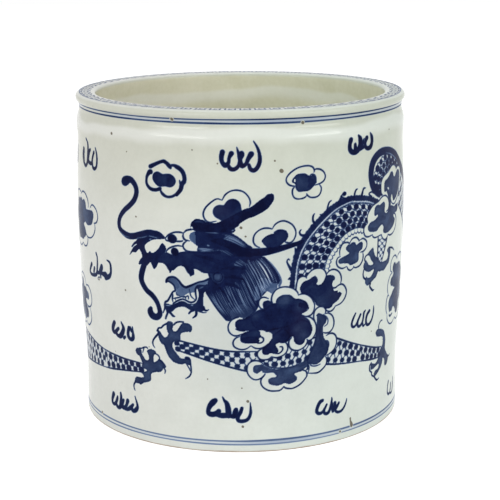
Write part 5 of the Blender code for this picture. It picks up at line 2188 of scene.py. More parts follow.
def knot_clouds() -> list[Cloud]:
    """The knot of clouds that hides the middle of the dragon, farthest first."""
    return [
        Cloud(
            "cloud_knot_upper",
            (
                ((32.7, 92.8), (31.2, 96), (32, 101.3), (33.4, 103.1), (35.2, 103.6), (37, 103.2),
                 (37.6, 102.2)),
                ((37.2, 102.6), (38.4, 104.6), (40.6, 106.5), (43.5, 107.4), (46.5, 107.1), (48.7, 105.7),
                 (50, 103.5), (50.1, 101.6)),
                ((50.4, 103.2), (52, 104.8), (54.2, 105.4), (56.6, 104.9), (58.8, 103.3), (60.2, 101),
                 (60.6, 98.6), (60.2, 96.4)),
                ((56, 94.3), (59.5, 95.7), (61.5, 95.6), (63.2, 94.2), (64.4, 92), (64.6, 90), (63.8, 87.7),
                 (62.2, 85.6), (60, 84.2), (56.6, 83.4)),
                ((56.9, 83.4), (55, 81.4), (53.2, 80.8), (51.2, 81.3), (49.9, 82.6), (49.5, 84)),
                ((49.5, 83.6), (47.5, 84.4), (45, 84), (43, 82), (42.4, 79.6)),
            ),
            masses=(
                ((33.7, 96.2), (34.2, 98.4), (35.4, 100), (37.4, 100.9), (38.6, 101.1), (41.8, 102.8),
                 (43.2, 102.8), (44.6, 100.4), (43.8, 98.2), (45, 97.4), (46.8, 97.7), (48.4, 99.4),
                 (50.4, 102.3), (54.6, 101.8), (55.8, 99.6), (54.8, 98.7), (54.1, 96.4), (54.7, 95.2),
                 (55.3, 93), (56.2, 92.2), (58, 92.2), (61, 90.4), (60.8, 89.4), (58.4, 86.6), (55.2, 84.8),
                 (54.4, 83.6), (53, 82.8), (51, 82.7), (47.2, 84), (44, 85.8), (43, 87.6), (39.4, 92.2),
                 (35, 93.7)),
            ),
            tone=0.79,
            curls=(
                ((50, 102, 0.8), (49.4, 99.8, 1.0), (47.8, 97.4, 1.3), (45.2, 96.8, 1.0)),
                ((54.2, 101.6, 0.9), (55.4, 100.6, 0.9), (55.5, 99.4, 0.8)),
                ((35, 96, 2.4), (38, 98.6, 3.0), (42, 100.6, 2.6), (42.4, 98, 2.0)),
                ((41, 94.6, 4.0), (45, 93, 5.0), (49, 94.6, 4.0)),
                ((55.4, 94.4, 1.0), (56.6, 94.3, 0.7), (57.6, 94.8, 0.6)),
            ),
            lifts=(
                ((54.8, 100), (55, 100.8), (55.4, 100.2), (55.2, 99.6)),
                ((58.2, 91.8), (59, 91.9), (59.2, 91.1), (58.6, 91.1)),
            ),
        ),
        Cloud(
            "cloud_knot_right",
            (
                ((48.6, 84), (45.6, 84.4), (43, 82.4), (42.4, 78.6), (43.6, 75), (44.4, 71)),
                ((44.4, 70), (43.6, 64), (41.4, 58), (39.4, 52.6), (40.4, 48.6), (40, 45.2)),
                ((39.8, 45.2), (46, 44.7), (49.4, 46.4), (51.8, 49), (52.2, 52), (51.2, 53.8)),
                ((51.6, 54.4), (54.4, 55.4), (57.2, 57.6), (58.5, 61), (58, 64.8), (56, 67), (53.4, 67.5),
                 (51, 66.6)),
                ((49, 68.8), (50.6, 68.2), (53.2, 68.4), (55.4, 70.6), (56.1, 74), (55, 77.6), (52.4, 79.8),
                 (49.6, 80)),
                ((49.8, 80), (50.2, 82.2), (48.6, 84)),
            ),
            masses=(
                ((43.6, 78.8), (44.4, 80.2), (46, 80.7), (50, 78.4), (50.8, 76.6), (50.4, 74.4), (49, 73),
                 (48.6, 71), (49.4, 65.6), (52.4, 61.6), (52.8, 58), (52, 55.4), (47, 50.6), (44, 50),
                 (40, 51), (38, 50), (36, 51.6), (38.8, 55.6), (41.6, 59), (43.4, 62.4), (44.2, 66.4),
                 (44.4, 79)),
            ),
            tone=0.64,
            curls=(
                ((48.6, 79.4, 0.8), (50.8, 77.8, 0.7), (51.9, 75.6, 0.7), (51.4, 73.4, 0.6),
                 (49.6, 72.4, 0.5)),
                ((50.4, 63.6, 0.8), (52.2, 63, 0.8), (53, 60.8, 0.9), (52.6, 58.4, 0.5)),
                ((47.8, 49.6, 0.5), (45, 49, 0.7), (42.2, 49.4, 0.7), (41, 50.6, 0.6)),
                ((46, 77, 1.8), (46.4, 72, 2.0), (47, 66, 2.2), (48.6, 61, 2.6)),
            ),
        ),
        Cloud(
            "cloud_knot_low",
            (
                ((13.5, 47.2), (12.8, 46), (11.4, 44.8), (9.4, 44), (7.4, 44), (5.4, 45.2), (3.8, 47.2),
                 (3.1, 49.4), (3.2, 51.6), (4, 53.6), (5.8, 55), (7.6, 55.5), (9.8, 55.2), (12, 53.8)),
                ((12, 53.6), (16, 51.4), (20, 50.4), (26, 50), (31, 50.6), (36, 52.4)),
                ((39.4, 51.4), (39.6, 49.6), (38.8, 47.4)),
                ((32.2, 46.6), (35.6, 47.6), (37.6, 47.2), (38.8, 46.2), (39.2, 44.6), (38.6, 42.8),
                 (35, 39.2), (30.2, 37.2), (26, 37.8), (24.9, 38.9)),
                ((24.8, 38.9), (23.6, 37.4), (21.4, 36.5), (16, 37), (12, 39.8), (11.2, 43.6), (13.8, 47)),
            ),
            masses=(
                ((6.8, 48.8), (9, 47.7), (11.6, 49.2), (12.8, 48), (16.4, 48.2), (18.6, 47.9), (20, 46.9),
                 (20.4, 45.6), (19.6, 44.9), (17.8, 44.8), (16.2, 44.2), (15.5, 42.8), (16, 41.4),
                 (17.6, 40.4), (20, 39.8), (22.4, 39.9), (25.6, 40.9), (27.4, 40.2), (29.4, 40.2),
                 (31.4, 41), (32.7, 42.2), (32.8, 43.8), (31.6, 44.9), (31.4, 46), (34.6, 47.1), (38.6, 49),
                 (40.6, 51), (43, 54), (44, 57.6), (41.4, 56.6), (39, 54.4), (33.4, 51), (26, 49.6),
                 (18.4, 50), (13.4, 52), (12, 53), (8, 52.6), (6.8, 51.6)),
            ),
            tone=0.58, line_tone=0.86,
            curls=(
                ((7.4, 50.8, 1.2), (8, 49.2, 2.0), (9.4, 49.4, 2.2), (11.4, 51, 2.4), (15, 49.8, 1.8)),
                ((16, 43.6, 0.9), (16.2, 42.2, 1.0), (18, 40.8, 1.0), (21, 40.3, 0.9)),
                ((12.4, 48.4, 0.7), (14.6, 48, 0.7), (18.4, 48.1, 0.7), (20.2, 46.4, 0.7)),
                ((25.6, 42.2, 2.0), (29, 42, 2.8), (31.4, 43.4, 1.8)),
                ((34, 50, 1.6), (38, 51.6, 2.4), (42, 55, 2.8)),
            ),
        ),
        Cloud(
            "cloud_knot_main",
            (
                ((2, 72.2), (-2.5, 70.6), (-5, 71), (-7, 73), (-7.5, 76), (-6.5, 78.6), (-4.4, 80.8),
                 (-1.6, 81.7)),
                ((2, 80.6), (5.6, 82), (9.2, 85), (12.6, 85.8), (11, 86.4), (9.8, 88.4), (9.8, 90.6),
                 (11, 92.4), (13, 92.9), (15.3, 92)),
                ((19.6, 88), (17.8, 88.7), (17, 91), (17.5, 94), (19.5, 96.8), (22.5, 98.2), (26, 98.2),
                 (29.5, 97), (32, 94.8), (32.8, 92.8)),
                ((32.7, 92.8), (34.6, 93.4), (37, 93.1), (40.3, 91), (42.4, 87.4), (42.8, 85.2),
                 (42.3, 82.6), (41, 80.6), (38.6, 79.8), (36.4, 80), (34.8, 81.2)),
                ((37.5, 79.6), (40, 79.1), (42.5, 77), (44, 74), (44.2, 70.5), (43, 67.5), (41, 65.5),
                 (39, 65.3), (38.3, 66.2)),
                ((38.8, 66), (38.5, 64), (37, 61.8), (34, 60.2), (31, 60.2), (28.5, 61.5), (27.3, 64),
                 (27.5, 66.5), (29, 68)),
                ((24.4, 66), (26.2, 64.6), (26.8, 62), (26, 59.6), (24, 57.8), (21, 56.8), (18.8, 56.9),
                 (17.4, 57.6)),
                ((17.2, 57.6), (15.8, 56.2), (13, 55.8), (10.6, 56.4), (9.2, 58), (9, 60), (10, 61.6),
                 (12, 62.6)),
                ((15, 65.4), (13.5, 64), (11, 62.9), (8, 63), (5.5, 64.5)),
                ((5.4, 64.6), (2.5, 62.7), (-1, 62.5), (-4, 64), (-4.8, 66.5), (-3.5, 69), (-1, 70.1)),
            ),
            ((11, 79.6, 5.8), (19, 82, 7.2), (25, 81, 7.4), (31, 82, 5.8), (20, 74, 6.4), (28, 76, 7.2),
             (35.6, 74.6, 4.8), (37, 71, 4.4), (24, 69.6, 4.4)),
            masses=(
                ((-3.3, 76), (-3.4, 78.2), (-2, 80), (1, 80.6), (6.6, 83), (10, 85.4), (12.6, 85.8),
                 (12.3, 87.4), (12.5, 89.2), (14, 90.5), (16.4, 90.5), (18, 88.6), (19.6, 87.6), (19.6, 90),
                 (20.4, 92), (22.6, 93.4), (25, 93.8), (28, 93.2), (30, 91.4), (31.6, 90.7), (33.4, 90.6),
                 (37, 88.8), (38.2, 87.4), (39.2, 84.4), (37.6, 82.7), (35.8, 82.5), (34.5, 81.8),
                 (34.4, 80.4), (30, 76), (16, 73), (11.2, 73.6), (1.3, 73.4), (-1.6, 73.8)),
                ((2, 72.6), (-0.4, 70.6), (-0.6, 67.8), (1, 66.4), (3.6, 66), (7.4, 66), (9.6, 66.3),
                 (10.6, 69), (11, 72), (8, 74)),
                ((27, 70), (30, 68.6), (30.4, 66.2), (32, 64), (34.4, 63.2), (36.6, 64.4), (37.4, 66.4),
                 (39.4, 67.6), (41, 69.4), (41.6, 72), (40.6, 75), (38, 77.2), (33, 78)),
                ((17, 69.6), (16, 66.6), (14, 64.4), (12, 62.7), (12, 60), (13.2, 59), (15, 58.8),
                 (16.6, 59.8), (19.2, 59), (20.6, 59.6), (21.2, 61), (19.6, 64), (19.9, 65), (22, 65.9),
                 (25.4, 66.6), (28, 69), (24, 74)),
            ),
            tone=0.85,
            lifts=(
                ((11.2, 73.4), (13.5, 72.6), (16, 72.2), (17.4, 71), (17.5, 69), (16.2, 67), (12.4, 63.6),
                 (10.5, 62.9), (6.2, 65), (11.8, 66), (12.9, 67.4), (12.7, 69.1), (11.4, 70.2),
                 (10.6, 71.6)),
                ((34.8, 81.4), (38, 82.8), (39.2, 82.4), (38.6, 80.8), (36.4, 80.6)),
                ((37.8, 84), (38.3, 84.8), (38.6, 84), (38.1, 83.5)),
                ((10, 68.9), (11, 69.1), (11.4, 68.2), (10.9, 67.5), (10.1, 67.9)),
            ),
            fades=((24, 90, 3.4), (33, 86.4, 2.4), (31.6, 72.6, 2.0), (36, 69, 2.4), (8, 82, 1.8)),
            curls=(
                ((15, 90.6, 0.9), (13, 89.8, 1.2), (12.9, 88, 1.4), (14.2, 87, 1.4)),
                ((10.2, 70, 0.7), (11.6, 69.5, 0.8), (12.5, 68.6, 0.8), (12.4, 67.2, 0.8),
                 (11.2, 66.2, 0.8), (9.4, 66, 0.8)),
                ((19.9, 59.3, 0.8), (21.6, 59.2, 0.8), (23.2, 60.4, 0.8), (23.8, 61.8, 0.8),
                 (23.4, 63, 0.8), (22.2, 63.2, 0.7)),
                ((-3, 74.6, 0.7), (-1.2, 73.8, 0.8), (1.4, 73.6, 1.0)),
                ((-4.8, 80.4, 0.8), (-3, 81.4, 1.1), (-1.6, 81.7, 1.0)),
                ((34, 87, 3.0), (36.4, 86, 3.0), (37.4, 84.6, 2.0)),
                ((1, 68.4, 3.0), (5, 68.4, 3.6), (8.6, 69, 2.6)),
            ),
        ),
    ]


@dataclass(frozen=True)
class Scroll:
    """One of the small hooked marks that fill the ground between the figures."""

    name: str
    tone: float
    hooks: tuple[tuple[Dab, ...], ...]

    def paint(self, b: Brush) -> None:
        """Paint the hooks."""
        b.strokes(self.tone, *self.hooks)

    def moved(self, name: str, across: float, up: float) -> "Scroll":
        """The same mark drawn elsewhere on the wall."""
        hooks = tuple(tuple((s + across, z + up, width) for s, z, width in hook) for hook in self.hooks)
        return Scroll(name, 0.86, hooks)


def scrolls() -> list[Scroll]:
    """All the scrolls: those in front, then those of the far side, which repeat them."""
    front = [
        Scroll("scroll_top_left", 0.92, (
            ((-118.8, 167, 3.6), (-119.4, 164, 4.0), (-118.6, 161, 3.2), (-117.2, 159, 2.2),
             (-115, 158, 2.0), (-112.6, 159.4, 2.2), (-111.4, 162.6, 2.8), (-111, 170, 2.2),
             (-112, 172.6, 1.6), (-114, 174.2, 1.2)),
            ((-110.6, 162, 2.8), (-110, 165, 2.8), (-108.6, 167.6, 2.4), (-107.4, 168.4, 1.8)),
            ((-110, 161.2, 2.2), (-107.6, 160.6, 2.2), (-105, 161, 2.2), (-104.2, 164, 1.9),
             (-102.4, 167.6, 2.0)),
            ((-104.4, 161.6, 1.6), (-103.6, 159, 2.0), (-101.6, 158.1, 2.0), (-99.2, 159.4, 1.9),
             (-98.4, 162.6, 1.9), (-98.6, 166, 1.7), (-99.6, 169, 1.3), (-100.6, 170.6, 0.7)),
        )),
        Scroll("scroll_top_middle", 0.96, (
            ((-9.9, 175.2, 2.8), (-10.5, 172.4, 2.6), (-10.2, 169.8, 2.3), (-8.4, 167.8, 2.7),
             (-6.6, 169.4, 2.0), (-6.2, 172, 1.9), (-5, 174.4, 2.8)),
            ((-7, 168.6, 1.6), (-5.8, 166.2, 2.3), (-3.6, 165.6, 2.2), (-1.4, 167.2, 2.0), (-0.5, 170, 1.8),
             (-0.8, 173.4, 1.9), (-2, 177.9, 0.5)),
            ((0.6, 174.6, 2.6), (1, 173.6, 2.4), (0.1, 170.8, 1.8), (0.8, 167.6, 2.6), (3, 168.6, 2.0),
             (4.3, 171.4, 2.4), (5.9, 174, 3.2)),
            ((4.6, 168, 1.8), (5.6, 165.6, 2.2), (7.6, 165, 2.3), (9.6, 167, 2.3), (10.7, 170.4, 2.2),
             (10.4, 174.2, 1.8), (9.2, 177.8, 1.3), (7.2, 181.2, 0.5)),
        )),
        Scroll("scroll_top_right", 0.96, (
            ((67, 178.1, 3.2), (66.4, 175.4, 2.8), (66.8, 172.6, 3.0), (68.8, 171, 3.0), (71.4, 171.2, 3.6),
             (74, 172.4, 3.2)),
            ((70.6, 175.2, 2.0), (71, 172.6, 3.0)),
            ((72.8, 180.2, 1.0), (74.4, 178, 3.0), (75, 175, 3.8), (74.4, 172.8, 3.4), (77.4, 173, 2.4)),
            ((80, 177.8, 3.0), (79, 175.4, 2.2), (79.4, 173, 2.4), (81.4, 171.8, 2.4), (84, 172.4, 3.0),
             (85.2, 175, 2.6), (84.6, 178, 2.4), (83, 180.6, 0.6)),
            ((77, 175, 2.0), (77.6, 177.6, 1.0)),
        )),
        Scroll("scroll_left", 0.84, (
            ((-108.4, 99.8, 2.4), (-110.6, 97, 2.0), (-111.6, 94.6, 1.9), (-109.4, 93.4, 2.0),
             (-105.6, 93.6, 2.0), (-102.4, 94.8, 2.2), (-101, 97.4, 1.9), (-100, 105, 1.4),
             (-101.2, 107.8, 1.5)),
            ((-104.6, 98.2, 2.0), (-105.6, 95.6, 2.0)),
            ((-99.8, 92.6, 1.8), (-98.8, 93.4, 1.6)),
            ((-101, 96.6, 2.4), (-98.6, 96.4, 2.0), (-97.4, 98.6, 1.6), (-95.2, 101.4, 2.2),
             (-94.8, 100, 2.0), (-96.6, 96.6, 1.8), (-96.8, 94, 1.2)),
            ((-96.4, 97, 2.0), (-93, 96.6, 3.0), (-91, 96.6, 3.8), (-91, 94.8, 2.6)),
            ((-91, 95.2, 3.4), (-87.6, 96.4, 2.8), (-85.6, 99, 2.0), (-85.4, 103, 1.8), (-86.4, 105.2, 1.5),
             (-89, 106, 0.7)),
        )),
        Scroll("scroll_left_low", 0.84, (
            ((-84.4, 69.2, 2.6), (-85.8, 66.6, 2.8), (-86.2, 64, 2.6), (-84.4, 63.2, 2.4),
             (-80.8, 66.2, 2.0)),
            ((-83.4, 63, 2.4), (-81.4, 61.6, 2.2), (-78.8, 62.4, 3.2), (-76.2, 67, 2.6), (-78, 70.8, 0.8)),
            ((-76.4, 61.2, 1.8), (-75.2, 62.2, 1.6)),
            ((-71.4, 68.4, 2.4), (-72.4, 65.4, 2.2), (-72.2, 62.8, 2.4), (-70.2, 61.6, 2.4),
             (-68.4, 63.4, 2.4), (-68.6, 69.5, 0.7)),
            ((-70.4, 68.8, 1.6), (-69.4, 66.8, 1.8)),
        )),
        Scroll("scroll_right_low", 0.84, (
            ((72.5, 76.2, 1.0), (70.8, 73.6, 1.5), (69.6, 70.4, 1.5), (70.6, 68.4, 1.5), (73, 69, 1.4),
             (76.8, 74.6, 1.6)),
            ((74.8, 71.6, 1.6), (74.4, 69, 1.6), (76, 67.6, 1.6), (78.4, 69.2, 1.6), (79.4, 72, 1.4),
             (79.8, 75, 1.6), (81, 76.2, 1.0)),
            ((78.8, 69.4, 1.2), (79.6, 67.2, 1.3), (81.3, 67.8, 0.8)),
            ((85, 75.2, 1.9), (83, 73.4, 1.9), (82, 70.4, 1.7), (82.8, 67.6, 1.7), (85, 67, 1.8),
             (87.4, 68.8, 1.6), (88.9, 72, 1.3), (89.3, 75, 1.2), (89.2, 77.2, 0.6)),
        )),
        Scroll("scroll_foot_left", 0.86, (
            ((-90.2, 23.2, 3.0), (-91.4, 20.4, 2.4), (-91.6, 18, 2.0), (-90, 17, 2.0), (-88, 18, 2.2),
             (-86.4, 21, 2.2), (-86, 22.4, 1.6)),
            ((-88, 18, 2.6), (-85.6, 16, 2.0), (-83.4, 17, 2.8), (-82.6, 20, 3.0), (-82.4, 23, 2.2),
             (-82.7, 25.4, 1.6)),
            ((-82, 19, 3.6), (-80, 21.8, 1.8)),
            ((-82, 18, 3.2), (-79.6, 17.2, 2.6), (-77.6, 19, 2.2), (-76.3, 22.2, 2.8)),
            ((-78.6, 17, 2.4), (-76.4, 17, 2.2), (-74, 18.4, 2.6), (-71.6, 20.8, 1.8)),
            ((-73, 18.6, 2.8), (-71.4, 17, 2.2), (-69, 18.4, 2.8), (-67.9, 21, 1.8), (-69.8, 26.4, 0.6)),
        )),
        Scroll("scroll_foot_middle", 0.9, (
            ((-15.6, 31.2, 2.8), (-17, 30, 3.6), (-18.8, 27.8, 3.0), (-19.9, 25, 2.5), (-19.4, 23.2, 3.0),
             (-17.4, 22.7, 3.2), (-15, 23.4, 3.2), (-13.6, 24.8, 2.8)),
            ((-15, 23, 3.0), (-12, 22.3, 3.2), (-9.2, 22.4, 3.2)),
            ((-11.3, 33.5, 0.6), (-10.2, 31.4, 1.5), (-8.8, 29.6, 2.6), (-8, 26, 3.4), (-7.8, 22.4, 3.4)),
            ((-6.4, 22, 2.4), (-4.4, 22.2, 3.0), (-3.8, 24.6, 3.2), (-3.4, 26, 2.4)),
            ((0, 26.8, 1.9), (-0.8, 24.4, 2.2), (-2.4, 21.6, 2.4), (-2, 19.4, 2.2), (0.4, 19, 2.2),
             (3, 19.8, 2.0), (4.6, 22, 1.8), (5.2, 25, 1.5), (4.9, 30.2, 0.4)),
        )),
        Scroll("scroll_foot_right", 0.84, (
            ((50, 27, 2.0), (48.2, 26.2, 2.3), (46.6, 23.4, 2.2), (46.1, 20.8, 2.1), (48, 19.4, 2.0),
             (50.6, 20.4, 1.7), (53, 24, 1.3)),
            ((51.2, 21.4, 1.6), (51.2, 19.4, 1.8), (53, 18.5, 2.0), (55, 20, 1.8), (56.6, 25.6, 1.3),
             (56.6, 27.6, 0.7)),
            ((56.6, 24.2, 1.8), (57.2, 21.6, 2.4), (57.6, 19.2, 2.0)),
            ((59, 24, 2.0), (59, 21.6, 2.4), (57.8, 19.6, 1.6)),
            ((62, 23.4, 1.5), (60.8, 21.6, 1.8), (59.4, 19.4, 1.6), (61, 17.9, 1.6), (64, 18.1, 1.5),
             (66.4, 20.2, 1.3), (67.8, 22.8, 1.0), (68.3, 24.7, 0.4)),
        )),
        Scroll("scroll_foot_edge", 0.8, (
            ((117, 22.4, 1.8), (115.6, 19.6, 1.4), (115, 16.4, 1.5), (116.4, 14.6, 1.5), (119.4, 14.2, 1.4),
             (121.6, 16.4, 1.6), (122.6, 19.6, 1.6)),
            ((120, 14.2, 1.4), (123.6, 13.2, 1.2), (126.4, 14.4, 1.8), (128, 18, 2.2), (128.4, 22, 1.0)),
        )),
    ]
    far = (
        (1, 190, -4), (8, 194, 134), (2, 222, -20), (1, 366, -6), (0, 520, 0), (7, 488, 138), (7, 176, 2),
        (6, 352, 2), (8, 276, 0), (7, 394, -2), (6, 536, -2), (5, 126, -20), (7, 346, 36), (4, 338, 56))
    back = []
    for number, (source, s, z) in enumerate(far):
        back.append(front[source].moved(f"scroll_back_{number + 1}", s, z))
    return front + back


# ---------------------------------------------------------------- the far side


@dataclass(frozen=True)
class TrailingBody:
    """The dragon's body from the right-hand clouds round the back to the hind legs, and its tail."""

    name: str
    first: tuple[Point, ...]
    last: tuple[Point, ...]
    spine: tuple[Dab, ...]
    fins: tuple[Point, ...] = ()

    def paint(self, b: Brush) -> None:
        """Paint scales, spine and the hooked fins along it."""
        b.net(self.first, self.last, 6.2, 4)
        b.line(self.last, 0.9, 0.82)
        b.stroke(self.spine, 0.86)
        for s, z in self.fins:
            b.stroke([
                (s, z, 2.0), (s + 0.4, z + 3.0, 1.3), (s + 2.2, z + 4.6, 1.0), (s + 3.8, z + 4.4, 0.5),
            ], 0.88)


def far_side() -> list:
    """Body, tail, leg, pearl and tail flames on the side away from the front."""
    return [
        TrailingBody(
            "dragon_back",
            ((126, 150), (140, 138), (156, 122), (172, 106), (190, 95), (210, 90), (232, 90), (254, 95),
             (276, 104)),
            ((118, 134), (130, 124), (160, 94), (180, 80), (206, 73), (232, 72), (258, 77), (280, 85)),
            ((126, 153.5, 3.8), (142, 141, 4.4), (158, 125, 4.6), (174, 109, 4.6), (191, 98, 4.6),
             (210, 93, 4.6), (232, 93, 4.6), (254, 98, 4.4), (276, 107, 4.2)),
            ((146, 139), (160, 126), (176, 110), (196, 98), (216, 95), (236, 95.4)),
        ),
        TrailingBody(
            "dragon_haunch",
            ((276, 104), (296, 112), (318, 118), (342, 120), (366, 116), (388, 108), (408, 98), (428, 88),
             (446, 78)),
            ((280, 85), (300, 93), (322, 100), (342, 102), (362, 98), (380, 90), (396, 80), (412, 68),
             (426, 56)),
            ((276, 107, 4.2), (296, 115, 4.4), (318, 121, 4.6), (342, 123, 4.6), (367, 119, 4.6),
             (390, 111, 4.6), (410, 101, 4.4), (430, 91, 4.2), (448, 81, 3.8)),
            ((300, 118), (322, 123), (346, 125), (370, 120), (392, 112), (412, 102)),
        ),
        Leg(
            "leg_back",
            (
                (
                    ((232, 74), (226, 62), (222, 52), (219, 46)),
                    ((208, 76), (210, 64), (212, 54), (213, 46)),
                    6.0, 3,
                ),
            ),
            ((213, 48), (209, 48.4), (205.4, 51), (202.6, 52), (201.2, 50), (203, 47), (206.4, 44.4),
             (208.6, 43), (206.8, 41), (203, 38.2), (201, 36.2), (202.4, 34), (205.4, 34.8), (209, 37.4),
             (212.4, 39.6), (213.6, 37.6), (212.4, 34), (211.2, 31), (212.8, 29.6), (215, 31), (216.8, 35),
             (218.2, 39), (221.4, 39.4), (224.8, 37.6), (227.6, 35), (229.8, 35.4), (229.8, 37.8),
             (227, 41), (223, 43.6), (220.4, 45), (219.4, 47.6)),
            (
                ((202.6, 51.4, 2.0), (199, 50.4, 1.3), (197, 47, 0.5)),
                ((202, 35, 2.0), (198.6, 36, 1.3), (197.2, 39.4, 0.5)),
                ((212.4, 30.4, 2.0), (213.4, 27.2, 1.3), (217, 25.8, 0.5)),
                ((229.6, 36, 2.0), (232, 33, 1.3), (231, 29.4, 0.5)),
            ),
        ),
        Scroll("dragon_tail", 0.86, (
            ((446, 82, 6.0), (456, 92, 6.0), (463, 104, 5.2), (467, 116, 4.4), (466, 128, 3.4),
             (460, 137, 2.4), (451, 141, 1.2)),
            ((464, 108, 3.6), (456, 112, 3.0), (449, 119, 2.0), (446, 128, 0.8)),
            ((467, 118, 3.4), (473, 126, 2.8), (474, 136, 2.0), (468, 146, 0.8)),
            ((461, 100, 3.4), (452, 102, 2.6), (443, 107, 1.6), (437, 115, 0.7)),
            ((465, 112, 3.0), (474, 115, 2.4), (481, 122, 1.6), (484, 131, 0.7)),
            ((444, 86, 4.0), (440, 94, 2.4), (433, 99, 1.2), (426, 100, 0.5)),
        )),
        Scroll("flaming_pearl", 0.86, (
            ((296.5, 68, 1.2), (292, 63.4, 1.2), (285.6, 63.6, 1.2), (282, 69, 1.2), (285.6, 74.4, 1.2),
             (292.4, 74.4, 1.2), (296.5, 68, 1.2)),
            ((288.6, 69.6, 5.4), (289.8, 68.4, 5.6)),
            ((296, 72, 2.0), (301.5, 75.6, 2.3), (307, 74, 1.7), (313, 78.5, 0.5)),
            ((297, 67.4, 2.2), (303.5, 68.8, 2.5), (309.5, 66, 1.7), (316, 69.5, 0.5)),
            ((294, 63, 2.0), (300, 60.4, 2.3), (306, 61, 1.6), (312, 57, 0.5)),
        )),
    ]


def far_clouds() -> list[Cloud]:
    """The clouds of the far side, each a cousin of one at the front."""
    front = {cloud.name: cloud for cloud in front_clouds() + knot_clouds()}
    copies = (
        ("cloud_knot_upper", "cloud_back_1", (170, 132), -20.0, 1.05, True),
        ("cloud_under_arch", "cloud_back_2", (190, 70), 10.0, 1.15, False),
        ("cloud_knot_upper", "cloud_back_3", (248, 84), 160.0, 1.1, True),
        ("cloud_high_right", "cloud_back_4", (216, 128), 0.0, 1.1, True),
        ("cloud_under_arch", "cloud_back_5", (306, 100), 40.0, 1.25, True),
        ("cloud_high_right", "cloud_back_6", (318, 144), 10.0, 1.1, False),
        ("cloud_knot_upper", "cloud_back_7", (376, 96), 20.0, 1.1, False),
        ("cloud_under_arch", "cloud_back_8", (386, 138), -30.0, 1.0, False),
        ("cloud_knot_upper", "cloud_back_9", (430, 72), 190.0, 1.05, False),
        ("cloud_high_right", "cloud_back_10", (424, 128), 0.0, 1.0, True),
        ("cloud_high_right", "cloud_back_11", (156, 70), 20.0, 1.0, False),
        ("cloud_under_arch", "cloud_back_12", (368, 46), 0.0, 1.0, True),
        ("cloud_high_right", "cloud_back_13", (435, 45), 30.0, 1.15, False),
    )
    return [front[source].moved(name, *placing) for source, name, *placing in copies]


# ---------------------------------------------------------------- the whole painting


@dataclass
class Painting:
    """Every brushed motif of the wall, painted in order on one canvas and cut into films."""

    shape: PotShape
    material: bpy.types.Material
    low: float = 11.0
    high: float = 184.0
    columns: int = 1560
    pitch: float = 0.4

    def motifs(self) -> list:
        """All motifs, those farthest back first."""
        legs = dragon_legs()
        body_first = [ArchedBody(), CoiledBody(), *far_side(), *legs]
        clouds = front_clouds()
        behind = [cloud for cloud in clouds if not cloud.cover]
        before = [cloud for cloud in clouds if cloud.cover]
        head = [Crest(), Mane(), Horn(), Whiskers(), Jaw(), Snout(), Eyes()]
        return [*body_first, *behind, *head, *before, *knot_clouds(), *far_clouds(), *scrolls()]

    def build(self) -> list[bpy.types.Object | None]:
        """Paint everything, then cut and wrap each motif's film.

        Returns:
            The films.
        """
        canvas = Canvas(Surface.WALL, self.shape, self.low, self.high, self.columns, self.pitch)
        painted = []
        for number, motif in enumerate(self.motifs()):
            brush = Brush(canvas, number)
            motif.paint(brush)
            painted.append((motif.name, number, brush.box))
        films = []
        for name, number, box in painted:
            films.append(Film(name, canvas, number, box, self.material).build())
        return films


@dataclass
class IronSpots:
    """The brown spots and the rust mark that iron has left in the glaze."""

    shape: PotShape
    material: bpy.types.Material
    low: float = 3.0
    high: float = 194.0
    columns: int = 2080
    pitch: float = 0.3
    edge: float = 0.3
    proud: float = 0.00005
    spots: tuple[Dab, ...] = ((0.0, 133.2, 0.75), (2.5, 128.2, 0.5), (22.7, 164.3, 1.15),
                              (19.0, 170.0, 0.5), (3.4, 31.0, 0.8), (0.4, 15.8, 0.7), (-63.0, 135.7, 0.5),
                              (-12.8, 168.8, 0.4), (-82.0, 181.2, 0.8), (-104.8, 7.6, 0.8),
                              (-99.0, 92.4, 0.6), (-73.0, 91.0, 0.5), (0.0, 39.0, 0.4), (35.6, 190.2, 0.9),
                              (-39.2, 192.4, 0.9), (62.8, 5.6, 0.7), (-27, 176, 0.35), (88, 62, 0.35),
                              (-70, 172, 0.35), (104, 180, 0.4), (-20, 44, 0.35), (150, 176, 0.8),
                              (196, 142, 0.7), (244, 60, 0.6), (290, 134, 0.8), (338, 40, 0.7),
                              (360, 150, 0.6), (410, 30, 0.8), (440, 150, 0.6), (476, 172, 0.7),
                              (212, 176, 0.5), (300, 178, 0.6), (396, 176, 0.5))
    drip: tuple[Dab, ...] = ((71.3, 11.8, 1.4), (71.4, 10.2, 1.3), (71.9, 8.8, 2.0), (72.3, 7.4, 2.6))

    def build(self) -> list[bpy.types.Object | None]:
        """Paint the spots and cut them out as one film, a hair above the cobalt's."""
        canvas = Canvas(Surface.WALL, self.shape, self.low, self.high, self.columns, self.pitch, self.edge)
        brush = Brush(canvas, 0, softness=0.45, seed=11)
        for s, z, radius in self.spots:
            lobes = [(s, z, radius), (s + radius * 0.4, z - radius * 0.3, radius * 0.8)]
            brush.blobs(lobes, 1.0, soft=0.5, melt=0.2)
        brush.stroke(self.drip, 1.0)
        film = Film(
            "iron_spots", canvas, 0, brush.box, self.material, slot="glazed_porcelain", proud=self.proud
        )
        return [film.build()]


# ---------------------------------------------------------------- studio


